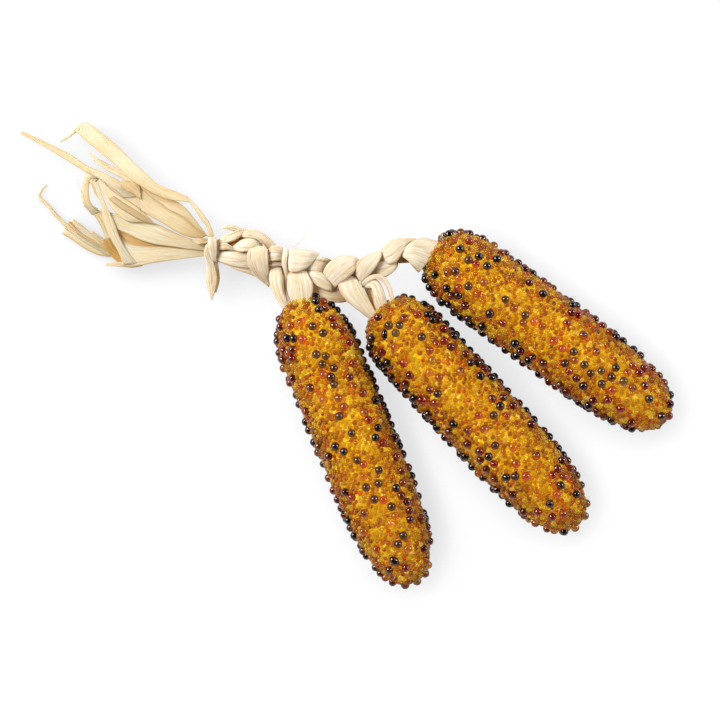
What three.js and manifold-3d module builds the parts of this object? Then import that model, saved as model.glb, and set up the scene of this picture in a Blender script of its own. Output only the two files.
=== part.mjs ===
// A hanging ornament of three mock corn cobs, covered in glass beads and plaited together by dried corn husk.
// Millimetres, +Z up. The ornament lies flat: X runs from the tassel to the cobs, and Z = 0 is the table.
import * as THREE from "three";
import { mergeVertices } from "three/addons/utils/BufferGeometryUtils.js";
import Module from "manifold-3d";

const wasm = await Module();
wasm.setup();

// ---- Driving dimensions ----
const BODY_RADIUS = 18.9; // cob to the middle of its relief
const AXIS_HEIGHT = 18.9; // of a lying cob: its lowest bumps are pressed flat on the table
const RELIEF = 0.8; // peaks of the relief, larger than life, that stands for the seed beads
const RELIEF_HOLLOW = 0.48; // hollows between them
const RELIEF_COLUMNS = 21;
const RELIEF_ROW = 4.9;
const LARGE_BEAD = 4; // dark and amber beads, scattered among the seed beads
const BEAD_CORNER = 0.15; // the corners of a faceted bead reach this far past the round one
const BEAD_STANDS_OUT = 0.2; // from the body radius to a large bead's centre
const LARGE_BEADS_PER_COB = 43;
const BEAD_TRIES = 30; // random places tried for each bead
const BARE_END = 9; // no large bead is nearer to the husk end of a cob
const BARE_TIP = 1.5;
const UNDERSIDE = 0.88; // beads stay off the strip lower than this share of the radius under the axis
const CLEARANCE = 0.3; // between neighbouring pieces

const PLAIT_PITCH = 52.5; // length in which a strand of the plait comes back to the same side
const STRAND = {
  thickness: 2.4,
  edge: 0.3, // thickness left at its edges, as a share
  crown: 0.12,
  rise: 3.2, // it passes this far over or under the plait's middle
  widthShare: 0.62, // half width as a share of the plait's, and what is added to it
  widthExtra: 1.1,
  widest: 4.2,
  stations: 35,
};
const LEAF = { thickness: 0.9, across: [-1, -0.4, 0.4, 1] };
const NECK_STRIP = { thickness: 1.3, edge: 0.7, stations: 9 };
const TORN_STRIP = { thickness: 0.9, crown: 0.1, stations: 6 };

// The tie is an oval band round the plait's neck, with its folded end as a strip.
const TIE = {
  x: -68.5,
  y: 53.2,
  z: 9.6,
  halfWidth: 7,
  halfHeight: 6,
  length: 6.6,
  wall: 1.3,
  sides: 24,
  tail: {
    rib: [[-68.5, 47, 11.6, 2.6, 0], [-68.4, 43, 8.4, 2.6, 0], [-67.8, 37, 5.4, 3, 0],
      [-68, 31.5, 3, 2.2, 0], [-68.6, 27.4, 1.4, 0.8, 0]],
    crown: 0.3,
    thickness: 1.4,
    stations: 8,
  },
};
const TABLE = { size: 400, thickness: 20 };

// Each cob: where its husk end is, which way it points, its length, and how long and blunt its dome is there.
const COBS = [
  { name: "cob_left", end: [-26.2, 29.0], heading: -67.8, length: 154, cap: 32, bluntness: 2, seed: 11 },
  { name: "cob_middle", end: [14.9, 23.5], heading: -47.4, length: 147, cap: 28, bluntness: 2.5, seed: 23 },
  { name: "cob_right", end: [41.7, 53.4], heading: -36.2, length: 145, cap: 28, bluntness: 2.5, seed: 37 },
];
const TIP = { length: 58, bluntness: 2.5 };

// The plait's middle line from the right cob to the tie, with its half width at each point.
const PLAIT_LINE = [
  [50, 51.5, 19.5, 3.2],
  [38, 54, 20.5, 3.6],
  [26, 51, 20.5, 4],
  [15, 45.5, 20, 4.6],
  [5, 42, 19.5, 5.4],
  [-5, 40, 19, 5.8],
  [-16, 42.5, 18, 5.6],
  [-27, 45, 16.5, 5.2],
  [-38, 45.5, 14.5, 5.8],
  [-48, 49.5, 12.5, 6],
  [-58, 52.6, 10.8, 5],
  [-66, 53, 9.8, 2.7],
  [-74, 53.4, 9.4, 2.3],
];
// Each strand: where along X it turns round the plait's upper edge.
const STRANDS = [
  { name: "plait_strand_1", edgeX: 35.5 },
  { name: "plait_strand_2", edgeX: 0.5 },
  { name: "plait_strand_3", edgeX: 18 },
];

// Husk strips between the cobs and the plait. Each rib point is x, y, z, half width and roll in degrees.
const NECK_STRIPS = [
  {
    name: "husk_right_flare",
    crown: 0.22,
    rib: [[24, 50.5, 23.2, 2.6, 0], [31, 50.5, 25.2, 4.6, -4], [38, 48.2, 25.6, 6.6, -8],
      [45, 46.4, 24, 7.4, -10]],
  },
  {
    name: "husk_middle_broad",
    crown: 0.25,
    rib: [[-5, 41, 15.5, 3.6, 0], [0, 36.5, 20.5, 5, 4], [7, 29, 22.6, 5, 6], [14, 21.5, 22.4, 4, 8],
      [19, 15.5, 21, 3.4, 8]],
  },
  {
    name: "husk_middle_loop",
    crown: 0.3,
    rib: [[5, 37.5, 15.8, 1.8, 0], [9.5, 38.8, 20.5, 2.8, 0], [15.5, 35, 22.4, 3.4, 0],
      [19.6, 27, 22.6, 3.4, 0], [22.5, 18, 21, 3, 0]],
  },
  {
    name: "husk_left_broad",
    crown: 0.28,
    rib: [[-27, 44, 11.6, 4, 0], [-25.5, 39.5, 18, 5, 0], [-24.6, 32, 21.6, 5.2, 0],
      [-23.4, 24, 22, 4.8, 0], [-21, 17, 21, 4, 0]],
  },
  {
    name: "husk_left_narrow",
    crown: 0.25,
    rib: [[-38, 46.5, 11, 2.4, 0], [-37, 40, 15.5, 3, 0], [-35, 31, 19.5, 2.8, 0],
      [-31.4, 23, 21, 2.4, 0], [-28, 15, 20.5, 2, 0]],
  },
];

// Leaves of the tassel, from the uppermost one down. The first rib point is at the tie.
const LEAVES = [
  {
    name: "tassel_leaf_top",
    crown: 0.1,
    rib: [[-71.5, 58.6, 15.8, 1.4, 0], [-72.5, 66, 17, 1.2, 20], [-77.5, 74.5, 17, 1.4, 10],
      [-88, 80.5, 16.4, 2.6, 0], [-100, 88, 15, 3.9, 0], [-115, 99.5, 12.5, 4.2, -6],
      [-129, 110, 9, 4.3, -10], [-135.8, 113.8, 6.5, 3.4, -14]],
  },
  {
    name: "tassel_leaf_tan",
    crown: 0.3,
    rib: [[-73.4, 55.6, 13.2, 1.5, 0], [-80, 63.2, 14.4, 3.4, 0], [-87.5, 70, 14.8, 5, 0],
      [-96, 75.8, 14.4, 5.4, 4], [-105, 79.5, 13.2, 5, 6]],
  },
  {
    name: "tassel_leaf_long",
    crown: 0.25,
    rib: [[-73.6, 53.4, 11.6, 1.5, 0], [-88, 68.5, 12.6, 2.8, 0], [-105, 80, 11.4, 3.2, 0],
      [-118, 88, 10.6, 2.4, 0], [-134, 95, 8.2, 2, 0], [-150, 103.5, 4.6, 1.5, 0],
      [-164, 111, 1.6, 0.8, 0]],
  },
  {
    name: "tassel_leaf_upper_broad",
    crown: 0.2,
    rib: [[-73.6, 52.4, 9.9, 1.6, 0], [-84, 56.5, 11.2, 3.6, 0], [-99, 60.5, 11.6, 5, 6],
      [-110, 64.2, 10.8, 5, 8], [-119, 69, 9.4, 4, 8]],
  },
  {
    name: "tassel_leaf_centre",
    crown: 0.3,
    rib: [[-73.8, 56.8, 10.6, 1.2, 0], [-90, 65.5, 9.6, 3.2, 0], [-103, 69.5, 9, 5, -6],
      [-114, 76, 8.4, 6, -8], [-122.5, 83.5, 7.6, 4.4, -10]],
  },
  {
    name: "tassel_leaf_pointed",
    crown: 0.2,
    rib: [[-73.8, 58.8, 11, 1, 0], [-88, 75, 10.2, 2, 0], [-103, 86.5, 8.6, 2.4, 0],
      [-117, 92.5, 6.6, 2, 0], [-130.6, 101.6, 4.2, 0.7, 0]],
  },
  {
    name: "tassel_leaf_lower_broad",
    crown: 0.16,
    rib: [[-73.6, 49.6, 8.4, 1.8, 0], [-84, 50.3, 8.8, 3.8, 0], [-98, 50, 8.4, 5.2, 0],
      [-110, 52.5, 7.6, 7.6, -3], [-118.8, 55, 6.8, 9, -5]],
  },
  {
    name: "tassel_leaf_curled",
    crown: 0.1,
    rib: [[-73.8, 51, 6.7, 1.2, 0], [-93, 51.5, 5.4, 2.2, 0], [-108, 53, 4.6, 3, 0],
      [-116.5, 59, 4.4, 3.2, 0], [-122, 67, 4.6, 2.8, 0], [-128, 74.5, 5, 1.8, 0],
      [-132, 81, 5.6, 1.4, 0], [-132.4, 87, 6.4, 1.3, 0], [-130, 92, 7, 1.2, 0]],
  },
];

// The lowest leaf of the tassel: its body, and the strips into which its end is torn.
const SPLIT_LEAF = {
  name: "tassel_leaf_split",
  ribs: [
    [[-74, 52.4, 6, 1.4, 0], [-92, 55, 3.6, 3, 0], [-108, 55, 2.6, 4.2, 0], [-120, 54.6, 2.2, 4.6, 0]],
    [[-116, 53.5, 2.2, 1.6, 0], [-127, 54, 1.8, 1.4, 0], [-142, 65, 1.6, 1, 0], [-156.5, 79.5, 1.4, 0.8, 0],
      [-153.6, 86, 1.2, 0.7, 0]],
    [[-116, 56.5, 2.4, 1.6, 0], [-126, 57, 2.8, 1.2, 0], [-133, 62.5, 3.2, 1.1, 0], [-140, 67.6, 3.4, 1, 0]],
    [[-116, 51.2, 2, 1.6, 0], [-126, 51.6, 1.7, 1.8, 0], [-136, 57.2, 1.5, 1.8, 0],
      [-144, 62.6, 1.4, 1.6, 0]],
  ],
};

const husk = (colour) => new THREE.MeshStandardMaterial({ color: colour, roughness: 0.78, metalness: 0 });
const MATERIALS = {
  cob: new THREE.MeshStandardMaterial({ color: 0xd8961c, roughness: 0.25, metalness: 0 }),
  plait: husk(0xe9d6ac),
  neck: husk(0xefe0bc),
  leaf: husk(0xf0dfae),
  tie: husk(0xe6d8a6),
};

// ---- Solids ----

// A closed three.js geometry as a manifold-3d solid.
function solid(geometry) {
  const bare = geometry.clone();
  bare.deleteAttribute("normal");
  bare.deleteAttribute("uv");
  const merged = mergeVertices(bare, 1e-4);
  return new wasm.Manifold(
    new wasm.Mesh({
      numProp: 3,
      vertProperties: new Float32Array(merged.attributes.position.array),
      triVerts: new Uint32Array(merged.index.array),
    }),
  );
}

// A solid's largest body as a named mesh.
function piece(name, made, material) {
  const largest = made.decompose().reduce((a, b) => (a.volume() > b.volume() ? a : b));
  const { vertProperties, triVerts } = largest.getMesh();
  const geometry = new THREE.BufferGeometry();
  geometry.setAttribute("position", new THREE.BufferAttribute(new Float32Array(vertProperties), 3));
  geometry.setIndex(new THREE.BufferAttribute(new Uint32Array(triVerts), 1));
  geometry.computeVertexNormals();
  const mesh = new THREE.Mesh(geometry, material);
  mesh.name = name;
  return mesh;
}

// Random numbers between 0 and 1 from a seed.
function seeded(seed) {
  let state = seed * 7919 + 17;
  return () => {
    state = (state * 16807) % 2147483647;
    return state / 2147483647;
  };
}

// ---- Husk ----

// A strip of husk along a rib: its two faces are split into the same triangles, and crown raises its middle.
// grow makes the strip larger all round, for the room that it needs in a neighbour.
function strip({ rib, crown, thickness, edge = 1, across = [-1, 0, 1], stations, grow = 0 }) {
  const points = rib.map(([x, y, z]) => new THREE.Vector3(x, y, z));
  const line = new THREE.CatmullRomCurve3(points, false, "centripetal");
  const spread = new THREE.CatmullRomCurve3(
    rib.map(([, , , halfWidth, roll]) => new THREE.Vector3(halfWidth, THREE.MathUtils.degToRad(roll), 0)),
  );
  const upper = [];
  const lower = [];
  for (let i = 0; i <= stations; i++) {
    const t = i / stations;
    const at = line.getPoint(t);
    const along = line.getTangent(t);
    const { x: halfWidth, y: roll } = spread.getPoint(t);
    const side = new THREE.Vector3(0, 0, 1).cross(along).normalize().applyAxisAngle(along, roll);
    const out = along.clone().cross(side);
    for (const s of across) {
      const rise = crown * halfWidth * (1 - s * s);
      const half = (thickness / 2) * (Math.abs(s) === 1 ? edge : 1) + grow;
      const foot = at.clone().addScaledVector(side, s * (halfWidth + grow)).addScaledVector(out, rise);
      upper.push(foot.clone().addScaledVector(out, half));
      lower.push(foot.addScaledVector(out, -half));
    }
  }
  return closedStrip(upper, lower, across.length, stations);
}

// Joins the upper and lower points of a strip, given row by row, in one closed geometry.
function closedStrip(upper, lower, columns, stations) {
  const count = upper.length;
  const faces = [];
  const quad = (a, b, c, d) => faces.push(a, b, c, a, c, d);
  for (let i = 0; i < stations; i++) {
    const row = i * columns;
    const next = row + columns;
    for (let k = 0; k < columns - 1; k++) {
      faces.push(row + k, next + k, next + k + 1, row + k, next + k + 1, row + k + 1);
      const [a, b, c, d] = [row + k, next + k, next + k + 1, row + k + 1].map((v) => v + count);
      faces.push(a, c, b, a, d, c);
    }
    const last = columns - 1;
    quad(row, row + count, next + count, next);
    quad(next + last, next + last + count, row + last + count, row + last);
  }
  const end = stations * columns;
  for (let k = 0; k < columns - 1; k++) {
    quad(k, k + 1, k + 1 + count, k + count);
    quad(end + k + 1, end + k, end + k + count, end + k + 1 + count);
  }
  const points = [...upper, ...lower].flatMap((p) => [p.x, p.y, p.z]);
  const geometry = new THREE.BufferGeometry();
  geometry.setAttribute("position", new THREE.Float32BufferAttribute(points, 3));
  geometry.setIndex(faces);
  return geometry;
}

// The rib of a plait strand: it swings from edge to edge, and passes over the middle after it leaves an edge.
function strandRib(edgeX) {
  const middle = new THREE.CatmullRomCurve3(PLAIT_LINE.map(([x, y, z]) => new THREE.Vector3(x, y, z)));
  const width = new THREE.CatmullRomCurve3(PLAIT_LINE.map(([, , , half]) => new THREE.Vector3(half, 0, 0)));
  const rib = [];
  for (let i = 0; i <= STRAND.stations; i++) {
    const t = i / STRAND.stations;
    const at = middle.getPoint(t);
    const along = middle.getTangent(t);
    const swing = width.getPoint(t).x;
    const phase = Math.PI / 2 + (2 * Math.PI * (edgeX - at.x)) / PLAIT_PITCH;
    const side = new THREE.Vector3(0, 0, 1).cross(along).normalize().negate();
    at.addScaledVector(side, swing * Math.sin(phase));
    at.z -= STRAND.rise * Math.sin(2 * phase);
    rib.push([at.x, at.y, at.z, Math.min(STRAND.widest, swing * STRAND.widthShare + STRAND.widthExtra), 0]);
  }
  return rib;
}

// The tie: its band and its hanging end.
function tieSolid(grow = 0) {
  const oval = (halfWidth, halfHeight) =>
    new THREE.Path(new THREE.Path().absellipse(0, 0, halfWidth, halfHeight).getPoints(TIE.sides / 2));
  const outline = new THREE.Shape(oval(TIE.halfWidth + grow, TIE.halfHeight + grow).getPoints());
  outline.holes.push(oval(TIE.halfWidth - TIE.wall - grow, TIE.halfHeight - TIE.wall - grow));
  const band = new THREE.ExtrudeGeometry(outline, { depth: TIE.length + 2 * grow, bevelEnabled: false });
  band.translate(0, 0, -TIE.length / 2 - grow);
  band.rotateY(Math.PI / 2);
  band.rotateX(Math.PI / 2);
  band.translate(TIE.x, TIE.y, TIE.z);
  return solid(band).add(solid(strip({ ...TIE.tail, grow })));
}

// ---- Cobs ----

// Radius of the cob over its seed beads at a distance from the husk end.
function bodyRadius(cob, distance) {
  const dome = (from, length, power) => (1 - Math.max(0, 1 - from / length) ** power) ** (1 / power);
  const huskEnd = dome(distance, cob.cap, cob.bluntness);
  const tip = dome(cob.length - distance, TIP.length, TIP.bluntness);
  return BODY_RADIUS * huskEnd * tip;
}

// Distances from the husk end at which the rings of the relief lie, evenly spaced along the profile.
function ringDistances(cob) {
  const step = 0.1;
  const rings = [];
  let run = 0;
  for (let d = step; d < cob.length - step; d += step) {
    run += Math.hypot(step, bodyRadius(cob, d) - bodyRadius(cob, d - step));
    if (run >= RELIEF_ROW) {
      rings.push(d);
      run = 0;
    }
  }
  return rings;
}

// The cob's body along +X from the origin: seed beads are a staggered relief of peaks, each amid six hollows.
function bodyGeometry(cob) {
  const rings = ringDistances(cob);
  const points = [0, 0, 0];
  rings.forEach((distance, row) => {
    const radius = bodyRadius(cob, distance);
    for (let column = 0; column < RELIEF_COLUMNS; column++) {
      const peak = (column - Math.floor(row / 2) - row + 3 * rings.length) % 3 === 0;
      const angle = (2 * Math.PI * (column + (row % 2) / 2)) / RELIEF_COLUMNS;
      const fade = Math.min(1, radius / BODY_RADIUS);
      const r = radius + fade * (peak ? RELIEF : -RELIEF_HOLLOW);
      points.push(distance, r * Math.cos(angle), r * Math.sin(angle));
    }
  });
  points.push(cob.length, 0, 0);
  const geometry = new THREE.BufferGeometry();
  geometry.setAttribute("position", new THREE.Float32BufferAttribute(points, 3));
  geometry.setIndex(latticeFaces(rings.length));
  return geometry;
}

// Triangles between staggered rings, and fans to the first and the last point.
function latticeFaces(rows) {
  const at = (row, column) => 1 + row * RELIEF_COLUMNS + ((column + RELIEF_COLUMNS) % RELIEF_COLUMNS);
  const last = 1 + rows * RELIEF_COLUMNS;
  const faces = [];
  for (let column = 0; column < RELIEF_COLUMNS; column++) {
    faces.push(0, at(0, column + 1), at(0, column));
    faces.push(last, at(rows - 1, column), at(rows - 1, column + 1));
    for (let row = 0; row < rows - 1; row++) {
      const [near, nearNext] = [at(row, column), at(row, column + 1)];
      const [far, farNext] = [at(row + 1, column), at(row + 1, column + 1)];
      if (row % 2 === 0) {
        faces.push(near, nearNext, far);
        faces.push(nearNext, farNext, far);
      } else {
        faces.push(near, nearNext, farNext);
        faces.push(near, farNext, far);
      }
    }
  }
  return faces;
}

// Places for the large beads, spread evenly by keeping each farthest from the rest out of some random tries.
function largeBeadPlaces(cob) {
  const random = seeded(cob.seed);
  const places = [];
  while (places.length < LARGE_BEADS_PER_COB) {
    let best = null;
    for (let i = 0; i < BEAD_TRIES; i++) {
      const distance = BARE_END + random() * (cob.length - BARE_END - BARE_TIP);
      const angle = random() * 2 * Math.PI;
      const radius = bodyRadius(cob, distance);
      if (random() > radius / BODY_RADIUS || Math.sin(angle) < -UNDERSIDE) continue;
      const at = new THREE.Vector3(distance, radius * Math.cos(angle), radius * Math.sin(angle));
      const gap = Math.min(...places.map((p) => p.distanceTo(at)), cob.length);
      if (!best || gap > best.gap) best = { at, gap };
    }
    if (best) places.push(best.at);
  }
  return places;
}

// The cob where it lies: body and large beads fused, and its underside flat where it touches the table.
function cobSolid(cob) {
  const random = seeded(cob.seed + 1);
  const place = new THREE.Matrix4().makeRotationZ(THREE.MathUtils.degToRad(cob.heading));
  place.setPosition(cob.end[0], cob.end[1], AXIS_HEIGHT);
  const beads = largeBeadPlaces(cob).map((at) => {
    const bead = new THREE.IcosahedronGeometry(LARGE_BEAD / 2 + BEAD_CORNER, 0);
    bead.rotateX(random() * Math.PI).rotateY(random() * Math.PI);
    const outward = new THREE.Vector3(0, at.y, at.z).normalize();
    const centre = at.clone().addScaledVector(outward, BEAD_STANDS_OUT);
    return solid(bead.translate(centre.x, centre.y, centre.z).applyMatrix4(place));
  });
  const table = new THREE.BoxGeometry(TABLE.size, TABLE.size, TABLE.thickness);
  table.translate(cob.end[0], cob.end[1], -TABLE.thickness / 2);
  return wasm.Manifold.union([solid(bodyGeometry(cob).applyMatrix4(place)), ...beads]).subtract(solid(table));
}

// ---- Assembly ----

// Every husk piece as its strip's settings, from the one that keeps its full shape to the one that gives way.
const strips = [
  ...STRANDS.map(({ name, edgeX }) => ({
    name,
    material: MATERIALS.plait,
    settings: { ...STRAND, rib: strandRib(edgeX) },
  })),
  ...NECK_STRIPS.map(({ name, crown, rib }) => ({
    name,
    material: MATERIALS.neck,
    settings: { ...NECK_STRIP, rib, crown },
  })),
  ...LEAVES.map(({ name, crown, rib }) => ({
    name,
    material: MATERIALS.leaf,
    settings: { ...LEAF, rib, crown, stations: 2 * rib.length - 2 },
  })),
];

const ornament = new THREE.Group();
const taken = [tieSolid(CLEARANCE)];
for (const { name, material, settings } of strips) {
  let made = solid(strip(settings));
  for (const room of taken) made = made.subtract(room);
  taken.push(solid(strip({ ...settings, grow: CLEARANCE })));
  ornament.add(piece(name, made, material));
}

let splitLeaf = wasm.Manifold.union(SPLIT_LEAF.ribs.map((rib) => solid(strip({ ...TORN_STRIP, rib }))));
for (const room of taken) splitLeaf = splitLeaf.subtract(room);
ornament.add(piece(SPLIT_LEAF.name, splitLeaf, MATERIALS.leaf));

ornament.add(piece("tie_strip", tieSolid(), MATERIALS.tie));

for (const cob of COBS) {
  let made = cobSolid(cob);
  for (const room of taken) made = made.subtract(room);
  ornament.add(piece(cob.name, made, MATERIALS.cob));
}

// The origin is under the middle of the whole ornament's box.
const box = new THREE.Box3().setFromObject(ornament);
ornament.position.set(-(box.min.x + box.max.x) / 2, -(box.min.y + box.max.y) / 2, -box.min.z);

export default ornament;
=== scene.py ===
"""Three mock corn cobs covered in glass beads, plaited together by dried corn husk, lying on a pale table.

Lengths are millimetres in the maker's plan until metres() turns them into the frame's metres. Materials, the
table, the lights and the camera are in metres.
"""
import random
from math import pi, radians

import bpy
import numpy as np
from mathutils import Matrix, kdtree


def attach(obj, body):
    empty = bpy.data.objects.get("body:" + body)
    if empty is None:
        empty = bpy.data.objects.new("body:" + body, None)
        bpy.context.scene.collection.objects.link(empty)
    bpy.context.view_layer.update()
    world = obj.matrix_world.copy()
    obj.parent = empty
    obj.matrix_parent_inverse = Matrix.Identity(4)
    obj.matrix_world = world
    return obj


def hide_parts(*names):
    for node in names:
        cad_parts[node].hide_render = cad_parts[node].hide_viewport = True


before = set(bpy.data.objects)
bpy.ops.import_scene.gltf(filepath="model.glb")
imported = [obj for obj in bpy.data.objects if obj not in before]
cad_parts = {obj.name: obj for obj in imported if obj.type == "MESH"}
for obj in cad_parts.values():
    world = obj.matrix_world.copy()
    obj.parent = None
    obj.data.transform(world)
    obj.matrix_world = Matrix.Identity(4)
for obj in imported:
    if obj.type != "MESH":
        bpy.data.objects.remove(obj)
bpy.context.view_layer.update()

MM = 0.001
PLAN_ORIGIN = np.array([0.932, -1.194, 0.0])  # the plan's zero, from the foot of the frame's axis
UP = np.array([0.0, 0.0, 1.0])
STEPS = 400  # along the spine of a husk piece


# ---- Hand tools ----

def metres(points):
    return (np.asarray(points, float) + PLAN_ORIGIN) * MM


def nothing_selected():
    for thing in bpy.context.selected_objects:
        thing.select_set(False)


def add_object(name, data):
    thing = bpy.data.objects.new(name, data)
    bpy.context.scene.collection.objects.link(thing)
    return thing


def corner_places(mesh):
    return np.array([corner.co for corner in mesh.vertices])


def smooth_row(rows, count):
    """Evenly spaced values on a smooth curve through rows of numbers."""
    p = np.asarray(rows, float)
    p = np.vstack([2 * p[0] - p[1], p, 2 * p[-1] - p[-2]])
    t = np.linspace(0, len(p) - 3, count)
    i = np.minimum(t.astype(int), len(p) - 4)
    f = (t - i)[:, None]
    a, b, c, d = p[i], p[i + 1], p[i + 2], p[i + 3]
    return 0.5 * (2 * b + (c - a) * f + (2 * a - 5 * b + 4 * c - d) * f**2 + (3 * b - a - 3 * c + d) * f**3)


def unit(vectors):
    return vectors / np.linalg.norm(vectors, axis=-1, keepdims=True)


# ---- Materials ----

WHITE = (1.0, 1.0, 1.0)


def new_material(name):
    material = bpy.data.materials.new(name)
    material.use_nodes = True
    return material, material.node_tree, material.node_tree.nodes["Principled BSDF"]


def feed(tree, node, inputs):
    """Give each named input of a node its value, or the socket that feeds it."""
    for name, value in inputs.items():
        if isinstance(value, bpy.types.NodeSocket):
            tree.links.new(value, node.inputs[name])
        else:
            node.inputs[name].default_value = value


def add_node(tree, kind, output, inputs=None, **settings):
    """The named output of a new shader node."""
    node = tree.nodes.new("ShaderNode" + kind)
    for name, value in settings.items():
        setattr(node, name, value)
    feed(tree, node, inputs or {})
    return node.outputs[output]


def noise(tree, place, scale, detail, roughness=0.5):
    return add_node(tree, "TexNoise", "Fac",
                    {"Vector": place, "Scale": scale, "Detail": detail, "Roughness": roughness})


def ramp(tree, amount, stops):
    """Colours by amount, through stops of (position, colour): the two ends first, then any between."""
    node = tree.nodes.new("ShaderNodeValToRGB")
    ends = node.color_ramp.elements
    for number, (position, colour) in enumerate(stops):
        stop = ends[number] if number < 2 else ends.new(position)
        stop.position = position
        stop.color = (*colour, 1)
    feed(tree, node, {"Fac": amount})
    return node.outputs["Color"]


def mix(tree, amount, one, other, blend="MIX"):
    """Two colours mixed. The colour sockets of a Mix node are its inputs 6 and 7 and its output 2."""
    return add_node(tree, "Mix", 2, {0: amount, 6: one, 7: other}, data_type="RGBA", blend_type=blend)


def bumped(tree, height, strength, distance):
    return add_node(tree, "Bump", "Normal", {"Height": height, "Strength": strength, "Distance": distance})


def glass(name, colour, clearness, roughness, shine, bend=1.5):
    material, tree, shader = new_material(name)
    feed(tree, shader, {"Base Color": (*colour, 1), "Roughness": roughness, "IOR": bend,
                        "Specular IOR Level": shine, "Transmission Weight": clearness})
    return material


def foam_material():
    """Painted foam under the beads: strong yellow, with paler spots scattered by a noise."""
    material, tree, shader = new_material("painted_foam")
    spots = noise(tree, add_node(tree, "TexCoord", "Object"), 330, 3)
    paint = [(0.35, (0.33, 0.130, 0.002)), (0.60, (0.44, 0.260, 0.003)), (0.71, (0.72, 0.59, 0.07))]
    feed(tree, shader, {"Base Color": ramp(tree, spots, paint), "Normal": bumped(tree, spots, 0.4, 0.0004),
                        "Roughness": 0.7, "Specular IOR Level": 0.05})
    return material


SEED_TINTS = {
    "seed_glass_lemon": (0.54, 0.365, 0.010),
    "seed_glass_yellow": (0.41, 0.215, 0.004),
    "seed_glass_amber": (0.36, 0.130, 0.003),
    "seed_glass_honey": (0.26, 0.078, 0.003),
    "seed_glass_orange": (0.40, 0.085, 0.003),
    "seed_glass_olive": (0.21, 0.080, 0.003),
    "seed_glass_clear": (0.62, 0.48, 0.05),
}
SEED_SHARES = [0.19, 0.29, 0.24, 0.12, 0.08, 0.07, 0.01]
LARGE_TINTS = {
    "dark": (0.015, 0.0036, 0.004),
    "brown": (0.17, 0.026, 0.008),
    "red": (0.34, 0.031, 0.006),
    "orange": (0.42, 0.11, 0.009),
    "amber": (0.46, 0.17, 0.015),
    "olive": (0.22, 0.095, 0.012),
    "clear": (0.90, 0.86, 0.68),
}

seed_glass = [glass(name, colour, 0.72, 0.13, 0.09, 1.36) for name, colour in SEED_TINTS.items()]
large_glass = [glass("bead_glass_" + name, colour, 1.0, 0.04, 0.33) for name, colour in LARGE_TINTS.items()]
painted_foam = foam_material()


# ---- Cobs ----

SEED_RADIUS = 1.3
SEED_SIZES = (0.78, 1.14)
SEED_ROOM = 6.1  # square millimetres of the cob's surface to each seed bead
SEED_JITTER = 1.3
SEED_DEPTH = 0.6  # seed bead centres, under the body's radius
SEED_END = 0.4  # nearest that a seed bead's centre comes to either end, over the surface
GOLDEN_ANGLE = pi * (3 - 5**0.5)
ROUNDS = 10  # of pushing the seed beads apart
SEED_PUSH = 0.42  # share of an overlap that one round takes away
LARGE_PUSH = 0.6  # the same, off a large bead
LARGE_GAP = 3.1  # between the middles of a large bead and a seed bead
LARGE_RADIUS = 2.2
LARGE_SIZES = (0.92, 1.06)
LARGE_RAISE = 0.35  # large bead centres, over the body's radius
LARGE_END = 2.0  # nearest that a large bead's centre comes to either end, over the surface
LARGE_BEADS_PER_COB = 260
HAND_SET_GAP = 3.0  # least room between the middles of large beads, where they are set from the list
STREWN_GAP = 3.9  # the same, where they are strewn
STREWN_END = 3  # the same as LARGE_END, for strewn beads
STREWN_STEP = 6  # how far a strewn bead falls from another one, along the cob
STREWN_TURN = 0.4  # the same round the cob, in radians
TRIES = 4000  # at strewing a bead
UPPER_SIDE = -0.42  # cosine of the angle from straight up, down to which a bead can be seen from above
STREWN_SIDE = 0.12  # the same, from where downwards beads are strewn
LOWEST_SIDE = -0.86  # the same, from where downwards a large bead would touch the table
UNDERSIDE_SHARES = [0.5, 0.3, 0.1, 0.06, 0.04]
TABLE_GAP = 0.02  # under a seed bead, at least
SLOPE_STEP = 0.3  # to either side of a place, where the slope of the surface is taken
CORE_DEPTH = 1.5  # the foam's surface, under the body's radius
BODY_RADIUS = 18.9
AXIS_HEIGHT = 18.9  # of a cob over the table
TIP_LENGTH = 58
TIP_POWER = 2.5

COBS = {
    "cob_left": dict(end=(-26.2, 29.0), heading=-67.8, length=154, cap_length=32, cap_power=2, seed=11),
    "cob_middle": dict(end=(14.9, 23.5), heading=-47.4, length=147, cap_length=28, cap_power=2.5, seed=23),
    "cob_right": dict(end=(41.7, 53.4), heading=-36.2, length=145, cap_length=28, cap_power=2.5, seed=37),
}
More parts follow.
